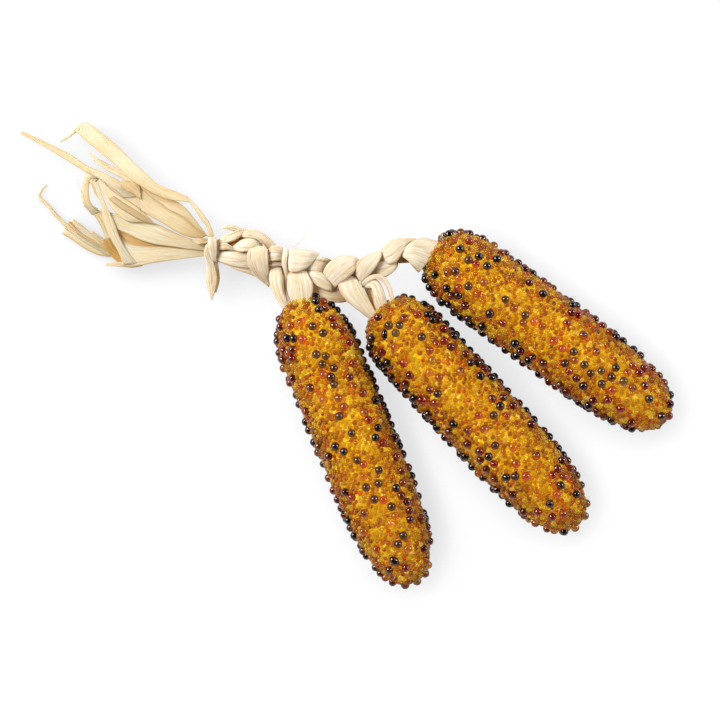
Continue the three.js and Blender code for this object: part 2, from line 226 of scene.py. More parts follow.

# Large beads on the upper side, listed as (distance along the cob, distance across it) for each tint.
LARGE_BEADS = {
    "cob_left": {
        "dark": [(6, 8), (10.5, 8), (10.5, 14.5), (17, 2), (17.5, -12), (19, -9), (20, 19), (22, 5.5),
            (23.5, 20), (30.5, -1.5), (33, 2.5), (36, -0.5), (40, 4), (43.5, 1), (46, 18.5), (47.5, 1),
            (49.5, 20.5), (62.5, 17), (63, -2.5), (70.5, -20), (73, 0), (75.5, 13), (76, -10), (79.5, 10),
            (80, -7), (86.5, -2.5), (95, 5.5), (100.5, -3.5), (101, 3), (104.5, 19.5), (106.5, 10),
            (107.5, -2), (113, -18), (114, 4.5), (129.5, 4.5), (132.5, 0.5)],
        "brown": [(17, -18), (24, -11.5), (26.5, -18), (27, 19.5), (27.5, -13.5), (37, -17), (44.5, -10.5),
            (47, 9.5), (53, 20), (54.5, 0.5), (57, 19), (59.5, 1.5), (64, -21.5), (66.5, 19.5), (73, -18),
            (79.5, -15), (83.5, 18.5), (99, -14), (100, 20), (101.5, -19.5), (108.5, 19.5), (111, 11),
            (112, -9), (115, 12.5), (119.5, 12), (123.5, 10.5), (125.5, 16), (130, -17), (131, 19.5),
            (140, 11.5), (143, -8.5)],
        "red": [(17, 12.5), (18.5, 17.5), (21, -5), (31, 16), (41, -2), (70, 10), (83.5, 12.5), (83.5, 20.5),
            (89.5, -0.5), (109.5, 2), (145, -0.5)],
        "orange": [(7.5, 11.5), (11, 11.5), (12.5, -8), (13, -2.5), (15, -9), (20.5, 12), (22.5, -16),
            (24.5, 15), (41.5, 13.5), (57, 12.5), (66, 9.5), (92.5, 16), (95, -2.5), (96.5, -20.5),
            (100, 16), (102.5, -12), (104.5, -17.5), (119, 4.5), (121.5, 1), (131, -10.5), (134.5, 18.5),
            (138, 16.5), (146.5, -13), (152, 9)],
        "amber": [(11, -13), (24.5, -14), (30.5, -20.5), (52, 9.5), (52.5, -6.5), (54.5, -17), (105.5, 14),
            (110, -19.5), (120.5, -13), (136.5, 4), (150, -11.5)],
        "olive": [(14, -16), (14, 16), (32.5, 19.5), (37.5, 20), (76, -19.5), (77, 20), (110, 17),
            (117, -19.5), (133, -16.5), (143.5, -14), (154, 4.5)],
    },
    "cob_middle": {
        "dark": [(9, -13), (10, -2.5), (11, -12.5), (11.5, -16), (13.5, -17), (13.5, 1.5), (15, -2.5),
            (18.5, -17.5), (19, 15.5), (21.5, -18), (22.5, 15.5), (23, -15.5), (24.5, -18.5), (25, 5.5),
            (28.5, 20.5), (34.5, -19), (35.5, 18), (39.5, -18), (45, -17.5), (48, -19.5), (50.5, -19.5),
            (51, -7.5), (51, 15), (59, 14), (63.5, -19), (63.5, 17.5), (67.5, -12), (76.5, 11), (77.5, 5.5),
            (83.5, -18.5), (89, -4), (90, -19.5), (91, -10), (93.5, 19.5), (97.5, -19), (104.5, -10.5),
            (105, 19), (107, -7), (116, -18), (125.5, 6.5), (128.5, -3.5), (134.5, 9.5)],
        "brown": [(3.5, -3.5), (12.5, 5.5), (17.5, -14), (21, 18), (24.5, 17.5), (29.5, -18.5), (32.5, 4),
            (35, -11.5), (37, -16), (38.5, 13), (45.5, -1.5), (46, 16), (47, -9), (50.5, 8), (53.5, 17.5),
            (54.5, 19), (60, -18.5), (60, 15.5), (69, -16), (71, 10.5), (74.5, -8.5), (74.5, 15),
            (79.5, -13.5), (79.5, -2.5), (81, 16), (86, -11.5), (89.5, -14), (94, 16.5), (95, -15),
            (101, 19.5), (106.5, -18), (106.5, 7.5), (113, -14), (117.5, 15.5), (118.5, 11), (123.5, -15.5),
            (144.5, -7.5)],
        "red": [(28.5, -9.5), (29.5, 16.5), (34, 12.5), (48, -15.5), (51, 19), (58, 18), (72.5, 0),
            (82.5, 19.5), (91.5, -14.5), (95.5, -10.5), (102.5, -2.5), (110.5, -3), (119, 7), (123.5, 16),
            (127.5, 2), (134.5, -7)],
        "orange": [(15.5, 11.5), (20, -7.5), (32.5, 8.5), (40.5, -3.5), (49.5, -13.5), (53.5, -11.5),
            (82, 10), (94.5, -19), (95.5, 2), (101.5, -15.5), (120, 18), (123.5, 10.5), (128, -10.5),
            (132, -15.5), (137, -2)],
        "amber": [(109.5, 18.5), (125.5, -17.5), (138, -14), (147.5, -4)],
        "olive": [(37, 1.5), (55.5, -17.5), (128.5, 16.5), (133.5, 15.5), (142, 11.5), (146, 9)],
        "clear": [(128.5, -18)],
    },
    "cob_right": {
        "dark": [(2, -10), (9, -10.5), (10.5, -16.5), (11.5, 7), (16, -3.5), (17.5, -12.5), (18, 5),
            (20, -18.5), (21, 9.5), (23, -18), (24, -12), (25.5, -5.5), (27, -18.5), (27, 8), (29, 14),
            (35, -18), (38, -19), (42, -10), (43, -17), (44, 0), (45.5, -19.5), (56.5, -0.5), (57.5, 13.5),
            (59.5, -21), (61, -14.5), (65, -20.5), (65.5, -18.5), (71.5, -17), (73, 18), (86.5, -8),
            (86.5, -1), (94.5, -3), (99.5, -4.5), (100, 18), (100.5, -11.5), (103, -0.5), (104, 18.5),
            (104.5, -19), (107, -5.5), (108, 5), (109, 0), (111, 18.5), (115, 2), (122.5, -16.5),
            (130.5, 2.5), (133.5, -14), (139, 13.5)],
        "brown": [(3, 10.5), (13.5, -6), (14.5, -17.5), (21.5, -14), (30, -14), (30.5, 0.5), (48, 19.5),
            (49, 14), (50, -1), (52, -19), (58, -4), (65.5, -16), (66.5, 0), (74.5, 14.5), (78, -14),
            (80, -19.5), (85.5, 8.5), (89.5, -4), (90.5, -19.5), (95.5, -10.5), (95.5, 5.5), (109, -17.5),
            (109, -14.5), (114, -17), (118, -17), (120.5, 2), (125, 6.5), (130.5, -14.5), (141, -0.5),
            (141, 7)],
        "red": [(22, -9), (22, 5.5), (50, -10), (62, -0.5), (72, -15), (75.5, -2.5), (75.5, 8.5), (78, 15.5),
            (81, -3), (113, -5), (114.5, -10), (119, 10), (120, 13.5), (122, -9.5), (133, 15)],
        "orange": [(7, 17), (13, 13), (19.5, -5), (29, 18), (43.5, 18.5), (54.5, 19.5), (81, 19.5),
            (81.5, -17), (90.5, -10), (91, 18.5), (114, 6.5), (114.5, 11), (124, 16), (131, -12)],
        "amber": [(17.5, 21), (24, 21), (31, 21), (34, 19.5), (39, 20.5), (45.5, 20.5), (96, 18),
            (129, 15.5), (144, 2)],
        "olive": [(91.5, -17.5), (115.5, 18.5), (135.5, 14.5)],
        "clear": [(0, 7.5), (0, 13.5), (1.5, 8.5)],
    },
}

# Long or outsize beads: tint, distances along and across, half length, half width, and turn from the cob's
# axis in degrees.
DROPS = {
    "cob_left": [("dark", 139.7, -4.4, 2.9, 2.1, 20)],
    "cob_middle": [("dark", 11.8, -7.1, 2.9, 1.6, -38)],
    "cob_right": [("orange", 31.5, -5.7, 2.6, 1.9, 30), ("brown", 96.1, -18.2, 2.75, 2.65, 0)],
}


class Cob:
    """The shape of one cob. Places on it go by distance over the surface from the husk end, and by angle."""

    def __init__(self, end, heading, length, cap_length, cap_power, seed):
        turn = radians(heading)
        self.end = np.array([*end, AXIS_HEIGHT])
        self.axis = np.array([np.cos(turn), np.sin(turn), 0])
        self.side = np.array([-np.sin(turn), np.cos(turn), 0])  # to the left of the heading
        self.seed = seed
        along = length * (1 - np.cos(np.linspace(0, pi, 1600))) / 2
        cap = np.maximum(0, 1 - along / cap_length) ** cap_power
        tip = np.maximum(0, 1 - (length - along) / TIP_LENGTH) ** TIP_POWER
        self.along = along
        self.radius = BODY_RADIUS * (1 - cap) ** (1 / cap_power) * (1 - tip) ** (1 / TIP_POWER)
        steps = np.hypot(np.diff(along), np.diff(self.radius))
        self.reach = np.concatenate([[0], np.cumsum(steps)])
        self.area = float(np.sum(2 * pi * (self.radius[1:] + self.radius[:-1]) / 2 * steps))

    def outline(self, reach, values):
        """One of the outline's values at some distances over the surface, and how much it grows there."""
        before, after = (np.interp(reach + step, self.reach, values) for step in (-SLOPE_STEP, SLOPE_STEP))
        return np.interp(reach, self.reach, values), after - before

    def at(self, reach, angle, depth=0.0):
        """Points, outward normals and the two directions along the surface. Angle 0 is up."""
        along, ahead = self.outline(reach, self.along)
        radius, rise = self.outline(reach, self.radius)
        slope = np.hypot(ahead, rise)
        ahead, rise = (ahead / slope)[:, None], (rise / slope)[:, None]
        spoke = np.cos(angle)[:, None] * UP + np.sin(angle)[:, None] * self.side
        forward = ahead * self.axis + rise * spoke
        normal = ahead * spoke - rise * self.axis
        round_way = -np.sin(angle)[:, None] * UP + np.cos(angle)[:, None] * self.side
        point = self.end + along[:, None] * self.axis + radius[:, None] * spoke - depth * normal
        return point, normal, forward, round_way, np.maximum(radius, 1.5)

    def large_place(self, along, across):
        """A large bead's distance over the surface and angle, from its places along and across the cob."""
        reach = float(np.interp(along, self.along, self.reach))
        reach = min(max(reach, LARGE_END), self.reach[-1] - LARGE_END)
        radius = float(np.interp(reach, self.reach, self.radius)) + LARGE_RAISE
        return reach, float(np.arcsin(np.clip(across / radius, -0.999, 0.999)))

    def large_middle(self, reach, angle):
        """Centre, normal and the two directions along the surface, for one large bead."""
        point, normal, forward, round_way, _ = self.at(np.array([reach]), np.array([angle]), -LARGE_RAISE)
        return point[0], normal[0], forward[0], round_way[0]


def one_bead(segments, rings):
    """Corner points and faces of a round bead of radius 1."""
    nothing_selected()
    bpy.ops.mesh.primitive_uv_sphere_add(segments=segments, ring_count=rings, radius=1)
    bead = bpy.context.object
    corners = corner_places(bead.data)
    faces = [tuple(face.vertices) for face in bead.data.polygons]
    bpy.data.objects.remove(bead)
    return corners, faces


def lay_beads(name, bead, centres, normals, sizes, tints, materials):
    """One mesh of many copies of a bead, each stood on the surface with its own size and glass."""
    corners, faces = bead
    rng = np.random.default_rng(len(centres))
    aside = unit(np.cross(normals, rng.normal(size=normals.shape)))
    third = np.cross(normals, aside)
    turned = (corners[None, :, 0:1] * aside[:, None] + corners[None, :, 1:2] * third[:, None]
              + corners[None, :, 2:3] * normals[:, None])
    placed = metres((centres[:, None] + turned * sizes[:, None, :]).reshape(-1, 3))
    loops = np.concatenate([np.array(face) for face in faces])
    counts = np.array([len(face) for face in faces])
    all_loops = (loops[None] + len(corners) * np.arange(len(centres))[:, None]).ravel()
    all_counts = np.tile(counts, len(centres))
    mesh = bpy.data.meshes.new(name)
    mesh.vertices.add(len(placed))
    mesh.vertices.foreach_set("co", placed.ravel())
    mesh.loops.add(len(all_loops))
    mesh.loops.foreach_set("vertex_index", all_loops)
    mesh.polygons.add(len(all_counts))
    mesh.polygons.foreach_set("loop_start", np.concatenate([[0], np.cumsum(all_counts)[:-1]]))
    mesh.polygons.foreach_set("loop_total", all_counts)
    mesh.polygons.foreach_set("material_index", np.repeat(tints, len(faces)))
    mesh.polygons.foreach_set("use_smooth", np.ones(len(all_counts), bool))
    for material in materials:
        mesh.materials.append(material)
    mesh.update(calc_edges=True)
    return add_object(name, mesh)


def lay_drop(name, cob, tint, along, across, half_length, half_width, turn):
    """One long bead, as a ball stretched along the surface."""
    centre, normal, forward, round_way = cob.large_middle(*cob.large_place(along, across))
    corners, faces = large_bead
    ahead = forward * np.cos(radians(turn)) + round_way * np.sin(radians(turn))
    aside = np.cross(normal, ahead)
    placed = centre + corners[:, :1] * half_length * ahead + half_width * (
        corners[:, 1:2] * aside + corners[:, 2:] * normal)
    mesh = bpy.data.meshes.new(name)
    mesh.from_pydata(metres(placed).tolist(), [], faces)
    mesh.shade_smooth()
    mesh.materials.append(large_glass[list(LARGE_TINTS).index(tint)])
    return add_object(name, mesh), centre


def large_bead_places(cob, by_hand):
    """Large beads as (distance over the surface, angle, tint, size): listed above, strewn underneath."""
    rng = random.Random(cob.seed)
    names = list(LARGE_TINTS)
    places, points = [], []

    def set_bead(reach, angle, tint, gap):
        point = cob.large_middle(reach, angle)[0]
        if all(np.sum((point - other) ** 2) > gap**2 for other in points):
            places.append((reach, angle, names.index(tint), rng.uniform(*LARGE_SIZES)))
            points.append(point)

    for tint, spots in by_hand.items():
        for spot in spots:
            set_bead(*cob.large_place(*spot), tint, HAND_SET_GAP)
    for _ in range(TRIES):
        near = rng.choice(places)
        reach = near[0] + rng.gauss(0, STREWN_STEP)
        angle = near[1] + rng.gauss(0, STREWN_TURN)
        free = STREWN_END < reach < cob.reach[-1] - STREWN_END and LOWEST_SIDE < np.cos(angle) < STREWN_SIDE
        if free and len(places) < LARGE_BEADS_PER_COB:
            set_bead(reach, angle, rng.choices(names[:5], weights=UNDERSIDE_SHARES)[0], STREWN_GAP)
    return places


def tree_of(points):
    """The points, kept so that near ones are found fast."""
    tree = kdtree.KDTree(len(points))
    for i, point in enumerate(points):
        tree.insert(point, i)
    tree.balance()
    return tree


def seed_bead_places(cob, large_centres):
    """Seed beads spread over the cob, pushed apart until they lie side by side round the large ones."""
    rng = np.random.default_rng(cob.seed)
    last = cob.reach[-1] - SEED_END
    count = int(cob.area / SEED_ROOM)
    share = (np.arange(count) + rng.uniform(0.1, 0.9, count)) / count
    ring = np.concatenate([[0], np.cumsum(np.diff(cob.reach) * (cob.radius[1:] + cob.radius[:-1]))])
    reach = np.interp(share * ring[-1], ring, cob.reach)
    angle = np.arange(count) * GOLDEN_ANGLE + rng.uniform(-SEED_JITTER, SEED_JITTER, count) / BODY_RADIUS
    reach = np.clip(reach + rng.uniform(-SEED_JITTER, SEED_JITTER, count), SEED_END, last)
    blocked = tree_of(large_centres)
    points = cob.at(reach, angle, SEED_DEPTH)[0]
    open_place = np.array([blocked.find(point)[2] > LARGE_GAP - 1.0 for point in points])
    reach, angle = reach[open_place], angle[open_place]
    size = SEED_RADIUS * rng.uniform(*SEED_SIZES, len(reach))
    for _ in range(ROUNDS):
        points, _, forward, round_way, radius = cob.at(reach, angle, SEED_DEPTH)
        seeds = tree_of(points)
        push = np.zeros_like(points)
        for i, point in enumerate(points):
            for place, j, distance in seeds.find_range(point, 2.5 * SEED_RADIUS):
                room = size[i] + size[j]
                if j != i and distance < room:
                    strength = SEED_PUSH * (room - distance) / max(distance, 0.05)
                    push[i] += (point - np.array(place)) * strength
            for place, _, distance in blocked.find_range(point, LARGE_GAP):
                strength = LARGE_PUSH * (LARGE_GAP - distance) / distance
                push[i] += (point - np.array(place)) * strength
        reach = np.clip(reach + np.sum(push * forward, axis=1), SEED_END, last)
        angle = angle + np.sum(push * round_way, axis=1) / radius
    return reach, angle, size


def seed_tints(cob, reach, angle):
    """Glass of each seed bead: mostly yellow and amber, in soft drifts."""
    rng = np.random.default_rng(cob.seed + 1)
    drift = 0.10 * np.sin(reach / 7.3 + 2 * np.sin(angle)) + 0.08 * np.sin(2.3 * angle + reach / 11)
    pick = np.clip(rng.uniform(0, 0.999, len(reach)) + drift, 0, 0.999)
    return np.searchsorted(np.cumsum(SEED_SHARES), pick)


def cob_core(name, cob):
    """The painted foam under the beads."""
    nothing_selected()
    bpy.ops.mesh.primitive_uv_sphere_add(segments=56, ring_count=64, radius=1)
    core = bpy.context.object
    core.name = name
    x, y, z = corner_places(core.data).T
    polar = np.arccos(np.clip(z, -1, 1)) / pi
    placed = cob.at(polar * cob.reach[-1], np.arctan2(y, x), CORE_DEPTH)[0]
    core.data.vertices.foreach_set("co", metres(placed).ravel())
    bpy.ops.object.mode_set(mode="EDIT")
    bpy.ops.mesh.select_all(action="SELECT")
    bpy.ops.mesh.normals_make_consistent(inside=False)
    bpy.ops.object.mode_set(mode="OBJECT")
    bpy.ops.object.shade_smooth()
    core.data.materials.append(painted_foam)
    return core


def finish_piece(piece, node):
    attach(piece, "root")
    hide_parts(node)


seed_bead = one_bead(segments=8, rings=5)
large_bead = one_bead(segments=16, rings=10)
under_bead = one_bead(segments=8, rings=6)
for node, facts in COBS.items():
    cob = Cob(**facts)
    core = cob_core(node + "_foam", cob)
    places = np.array(large_bead_places(cob, LARGE_BEADS[node]))
    centres, normals, *_ = cob.at(places[:, 0], places[:, 1], -LARGE_RAISE)
    sizes = LARGE_RADIUS * places[:, 3:]
    tints = places[:, 2].astype(int)
    seen = np.cos(places[:, 1]) > UPPER_SIDE
    large_piece = lay_beads(node + "_large_beads", large_bead, centres[seen], normals[seen], sizes[seen],
                            tints[seen], large_glass)
    under_piece = lay_beads(node + "_large_beads_under", under_bead, centres[~seen], normals[~seen],
                            sizes[~seen], tints[~seen], large_glass)
    drops = [lay_drop(f"{node}_long_bead_{i + 1}", cob, *drop) for i, drop in enumerate(DROPS[node])]
    long_beads = [drop for drop, _ in drops]
    for drop in long_beads:
        finish_piece(drop, node)
    reach, angle, size = seed_bead_places(cob, np.vstack([centres, [middle for _, middle in drops]]))
    seeds, normals, *_ = cob.at(reach, angle, SEED_DEPTH)
    seeds[:, 2] = np.maximum(seeds[:, 2], size + TABLE_GAP)
    seed_piece = lay_beads(node + "_seed_beads", seed_bead, seeds, normals, size[:, None],
                           seed_tints(cob, reach, angle), seed_glass)
    for piece in (seed_piece, large_piece, *long_beads):
        piece.visible_shadow = False  # glass lets the light through to the foam
    for piece in (core, large_piece, under_piece, seed_piece):
        finish_piece(piece, node)


# ---- Husk ----

def husk_material(name, pale, straw, brown, fibre=1.0):
    """Dried husk: long pale fibres in a straw ground, browner where the tone attribute says, which holds both
    the husk's own browner parts and painted shade in creases, at tucked rims and in the plait's gaps.
    """
    material, tree, shader = new_material(name)
    grain = add_node(tree, "UVMap", "UV")

    def grain_noise(stretch, detail, roughness=0.5):
        """Noise drawn out along the husk, by (across, along)."""
        place = add_node(tree, "Mapping", "Vector", {"Vector": grain, "Scale": (*stretch, 1)})
        return noise(tree, place, 1.0, detail, roughness)

    fibres = grain_noise((3.2, 0.08), 3)
    ground = ramp(tree, grain_noise((1.1, 0.045), 4, 0.6), [(0.32, straw), (0.58, pale)])
    lines = ramp(tree, fibres, [(0.30, (0.66, 0.50, 0.30)), (0.52, WHITE)])
    cracks = ramp(tree, grain_noise((0.42, 0.016), 4, 0.62),
                  [(0.475, WHITE), (0.505, WHITE), (0.49, (0.58, 0.42, 0.26))])
    lined = mix(tree, 0.55 * fibre, ground, lines, "MULTIPLY")
    cracked = mix(tree, 0.75 * fibre, lined, cracks, "MULTIPLY")
    blotches = noise(tree, add_node(tree, "TexCoord", "Object"), 60, 2)
    uneven = add_node(tree, "Math", "Value", {0: blotches, 1: 0.5, 2: -0.22}, operation="MULTIPLY_ADD")
    # The tone attribute: the husk's own browner parts together with painted shade in creases, at tucked rims
    # and in the plait's gaps.
    tone_and_shade = add_node(tree, "Attribute", "Fac", attribute_name="tone_and_shade")
    amount = add_node(tree, "Math", "Value", {0: uneven, 1: tone_and_shade}, operation="ADD", use_clamp=True)
    feed(tree, shader, {
        "Base Color": mix(tree, amount, cracked, (*brown, 1)), "Normal": bumped(tree, fibres, 0.5, 0.00009),
        "Roughness": 0.55, "Specular IOR Level": 0.35, "Subsurface Weight": 0.68,
        "Subsurface Radius": (1.0, 0.8, 0.55), "Subsurface Scale": 0.0022})
    return material


plait_husk = husk_material("plait_husk", pale=(0.68, 0.61, 0.50), straw=(0.60, 0.485, 0.31),
                           brown=(0.38, 0.185, 0.03))
tassel_husk = husk_material("tassel_husk", pale=(0.52, 0.455, 0.34), straw=(0.48, 0.38, 0.21),
                            brown=(0.37, 0.19, 0.032), fibre=0.6)

# How each kind of husk piece is cut and bent. Its back takes this share of its width, and is crowned by a
# share of its half width. The rest on both sides is tucked down by millimetres, and in by a share of the half
# width.
KINDS = {
    "lobe": dict(across=24, stations=44, back=0.9, crown=0.11, tuck=2.4, inset=0.2, pleat=0.03, folds=5,
                 wave=0, thickness=0.5),
    "strip": dict(across=14, stations=44, back=0.86, crown=0.14, tuck=1.6, inset=0.16, pleat=0.03, folds=2,
                  wave=0.05, thickness=0.4),
    "neck": dict(across=24, stations=48, back=0.9, crown=0.11, tuck=1.4, inset=0.14, pleat=0.035, folds=6,
                 wave=0.1, thickness=0.4),
    "leaf": dict(across=22, stations=64, back=0.92, crown=0.05, tuck=0.2, inset=0, pleat=0.02, folds=3,
                 wave=0.15, thickness=0.32),
    "thin": dict(across=8, stations=60, back=0.8, crown=0.25, tuck=0.5, inset=0, pleat=0.02, folds=1,
                 wave=0.15, thickness=0.3),
}

LEAST_HALF_WIDTH = 0.08
FULL_TUCK = 1.5  # half width from which a piece is tucked down in full
RIDGES = ((1.9, 1.0), (1.1, 0.7), (0.65, 0.45))  # pitch and strength of the ridges along a piece
CREASE_WIDTH = 0.30
CREASE_DEPTH = 0.25
# Painted shade: how much browner the husk is drawn along its creases.
PAINTED_CREASE_SHADE = 0.25
# Painted shade: how much browner the husk is drawn near its rims, where it tucks under its neighbours.
PAINTED_RIM_SHADE = 0.62
RIM_START = 0.86  # share of the back's width, where the painted rim shade begins
TEETH = 40  # of a torn end
TORN_PART = 12  # one part of the length in so many is torn


def spine_of_rib(rib, across=None):
    """Middle, sideways, outward and half width along a rib of (x, y, z, half width)."""
    rows = smooth_row(rib, STEPS)
    ahead = unit(np.gradient(rows[:, :3], axis=0))
    across = unit(np.cross(ahead, UP)) if across is None else np.tile(np.array(across, float), (STEPS, 1))
    return rows[:, :3], across, np.cross(across, ahead), rows[:, 3]


def spine_of_edges(stations):
    """The same between two edges, along stations of (height, left x, left y, right x, right y)."""
    rows = smooth_row(stations, STEPS)
    height, left, right = rows[:, :1], rows[:, 1:3], rows[:, 3:]
    gap = np.linalg.norm(right - left, axis=1, keepdims=True)
    across = np.hstack([(right - left) / np.maximum(gap, 0.01), np.zeros((STEPS, 1))])
    return np.hstack([(left + right) / 2, height]), across, np.tile(UP, (STEPS, 1)), gap[:, 0] / 2


def husk_piece(name, kind, spine, node, material, seed, tone_and_shade, torn=0.0, slot="plait_husk", **cut):
    """A piece of husk along its spine. Its tone is one number, or several along its length; painted shade is
    added to it along the creases and towards the rims, where the piece tucks under.
    """
    cut = {**KINDS[kind], **cut}
    rng = np.random.default_rng(seed)
    nothing_selected()
    bpy.ops.mesh.primitive_grid_add(x_subdivisions=cut["across"], y_subdivisions=cut["stations"], size=2)
    sheet = bpy.context.object
    sheet.name = name
    flat = corner_places(sheet.data)
    u, share = flat[:, 0], (flat[:, 1] + 1) / 2  # across from -1 to 1, and along from 0 to 1
    centre, across, out, width = spine
    reach = np.concatenate([[0], np.cumsum(np.linalg.norm(np.diff(centre, axis=0), axis=1))])
    pick = np.linspace(0, 1, STEPS)

    def along(values):
        if values.ndim == 1:
            return np.interp(share, pick, values)
        return np.stack([np.interp(share, pick, column) for column in values.T], axis=1)

    half = np.maximum(along(width), LEAST_HALF_WIDTH)
    widest = width.max()
    back = np.clip(np.abs(u) / cut["back"], 0, 1)
    down = np.clip((np.abs(u) - cut["back"]) / (1 - cut["back"]), 0, 1)
    sideways = np.sign(u) * (back - cut["inset"] * down**2)
    slim = np.clip(half / FULL_TUCK, 0.1, 1)
    lift = cut["crown"] * half * (1 - back**2.4) - cut["tuck"] * slim * down
    ridge = np.zeros(len(u))
    for pitch, strength in RIDGES:
        drift = 0.5 * np.sin(share * rng.uniform(2, 5) + rng.uniform(0, 6))
        ridge += strength * np.sin(2 * pi * u * widest / pitch + rng.uniform(0, 6) + drift)
    lift += cut["pleat"] * ridge * half / widest
    crease = np.zeros(len(u))
    for _ in range(cut["folds"]):
        line = rng.uniform(-0.75, 0.75) + 0.06 * np.sin(share * rng.uniform(3, 6) + rng.uniform(0, 6))
        weight = np.sin(pi * np.clip(share * rng.uniform(0.8, 1.6) + rng.uniform(-0.4, 0.2), 0, 1))
        crease += rng.uniform(0.5, 1.0) * weight * np.exp(-(((u - line) * widest / CREASE_WIDTH) ** 2))
    lift -= CREASE_DEPTH * crease * half / widest
    ripple = np.sin(share * rng.uniform(7, 13) + 1.9 * np.sign(u) + rng.uniform(0, 6))
    lift += cut["wave"] * np.abs(u) ** 1.5 * ripple
    tooth = np.clip(((u + 1) * ((TEETH - 1) / 2)).astype(int), 0, TEETH - 1)
    ragged = torn * rng.normal(size=TEETH)[tooth] * np.clip(share * TORN_PART - (TORN_PART - 1), 0, 1)
    points = along(centre) + along(across) * (sideways * half)[:, None] + along(out) * lift[:, None]
    points += along(unit(np.gradient(centre, axis=0))) * ragged[:, None]
    sheet.data.vertices.foreach_set("co", metres(points).ravel())
    over = u * half**0.75 * widest**0.25 + 30 * rng.uniform()
    uv = np.stack([over, along(reach) + 90 * rng.uniform()], axis=1)
    corners = np.array([loop.vertex_index for loop in sheet.data.loops])
    sheet.data.uv_layers.active.data.foreach_set("uv", uv[corners].ravel())
    shade = sheet.data.attributes.new("tone_and_shade", "FLOAT", "POINT")
    brown = along(smooth_row([[value] for value in tone_and_shade], STEPS)[:, 0]) if np.ndim(tone_and_shade) else tone_and_shade
    # Painted shade: browner along the creases and towards the rims, where the husk tucks down under its
    # neighbours.
    rim = PAINTED_RIM_SHADE * np.clip((back - RIM_START) / (1 - RIM_START), 0, 1) * slim
    shade.data.foreach_set("value", np.clip(brown + PAINTED_CREASE_SHADE * crease + rim, 0, 1))
    sheet.data.materials.append(material)
    bpy.ops.object.shade_smooth()
    wall = sheet.modifiers.new("wall", "SOLIDIFY")
    wall.thickness = cut["thickness"] * MM
    wall.offset = 0
    bpy.ops.object.modifier_apply(modifier="wall")
    finish_piece(sheet, node)


PLAIT_PITCH = 52.5  # along X, from one crossing of a strand to its next on the same side
STRAND_RISE = 1.8
STRAND_DROP = 1.6  # under the plait's middle line
STRAND_SWING = 0.45  # share of the plait's half width
STRAND_WIDEST = 2.6
PLAIT_LINE = [
    (50, 51.5, 19.5, 3.2), (38, 54, 20.5, 3.6), (26, 51, 20.5, 4), (15, 45.5, 20, 4.6), (5, 42, 19.5, 5.4),
    (-5, 40, 19, 5.8), (-16, 42.5, 18, 5.6), (-27, 45, 16.5, 5.2), (-38, 45.5, 14.5, 5.8),
    (-48, 49.5, 12.5, 6), (-58, 52.6, 10.8, 5), (-66, 53, 9.8, 2.7), (-74, 53.4, 9.4, 2.3),
]
STRANDS = {"plait_strand_1": 35.5, "plait_strand_2": 0.5, "plait_strand_3": 18}


def strand_rib(edge_x):
    """The plait's own strand, which swings from edge to edge and dives under the next one."""
    rows = smooth_row(PLAIT_LINE, count=60)
    centre, swing = rows[:, :3].copy(), rows[:, 3]
    ahead = unit(np.gradient(centre, axis=0))
    aside = unit(np.cross(ahead, UP))
    phase = pi / 2 + 2 * pi * (edge_x - centre[:, 0]) / PLAIT_PITCH
    centre += aside * (STRAND_SWING * swing * np.sin(phase))[:, None]
    centre[:, 2] -= STRAND_RISE * np.sin(2 * phase) + STRAND_DROP
    return np.column_stack([centre, np.minimum(STRAND_WIDEST, swing * 0.5)])


# The strands' cores show only in the gaps between the lobes; their browner tone paints the golden-brown shade
# seen there.
for number, (node, edge_x) in enumerate(STRANDS.items()):
    husk_piece(node + "_core", "lobe", spine_of_rib(strand_rib(edge_x)), node, plait_husk, seed=number,
               tone_and_shade=0.45, stations=150, across=16, back=0.6, crown=0.4, tuck=4)

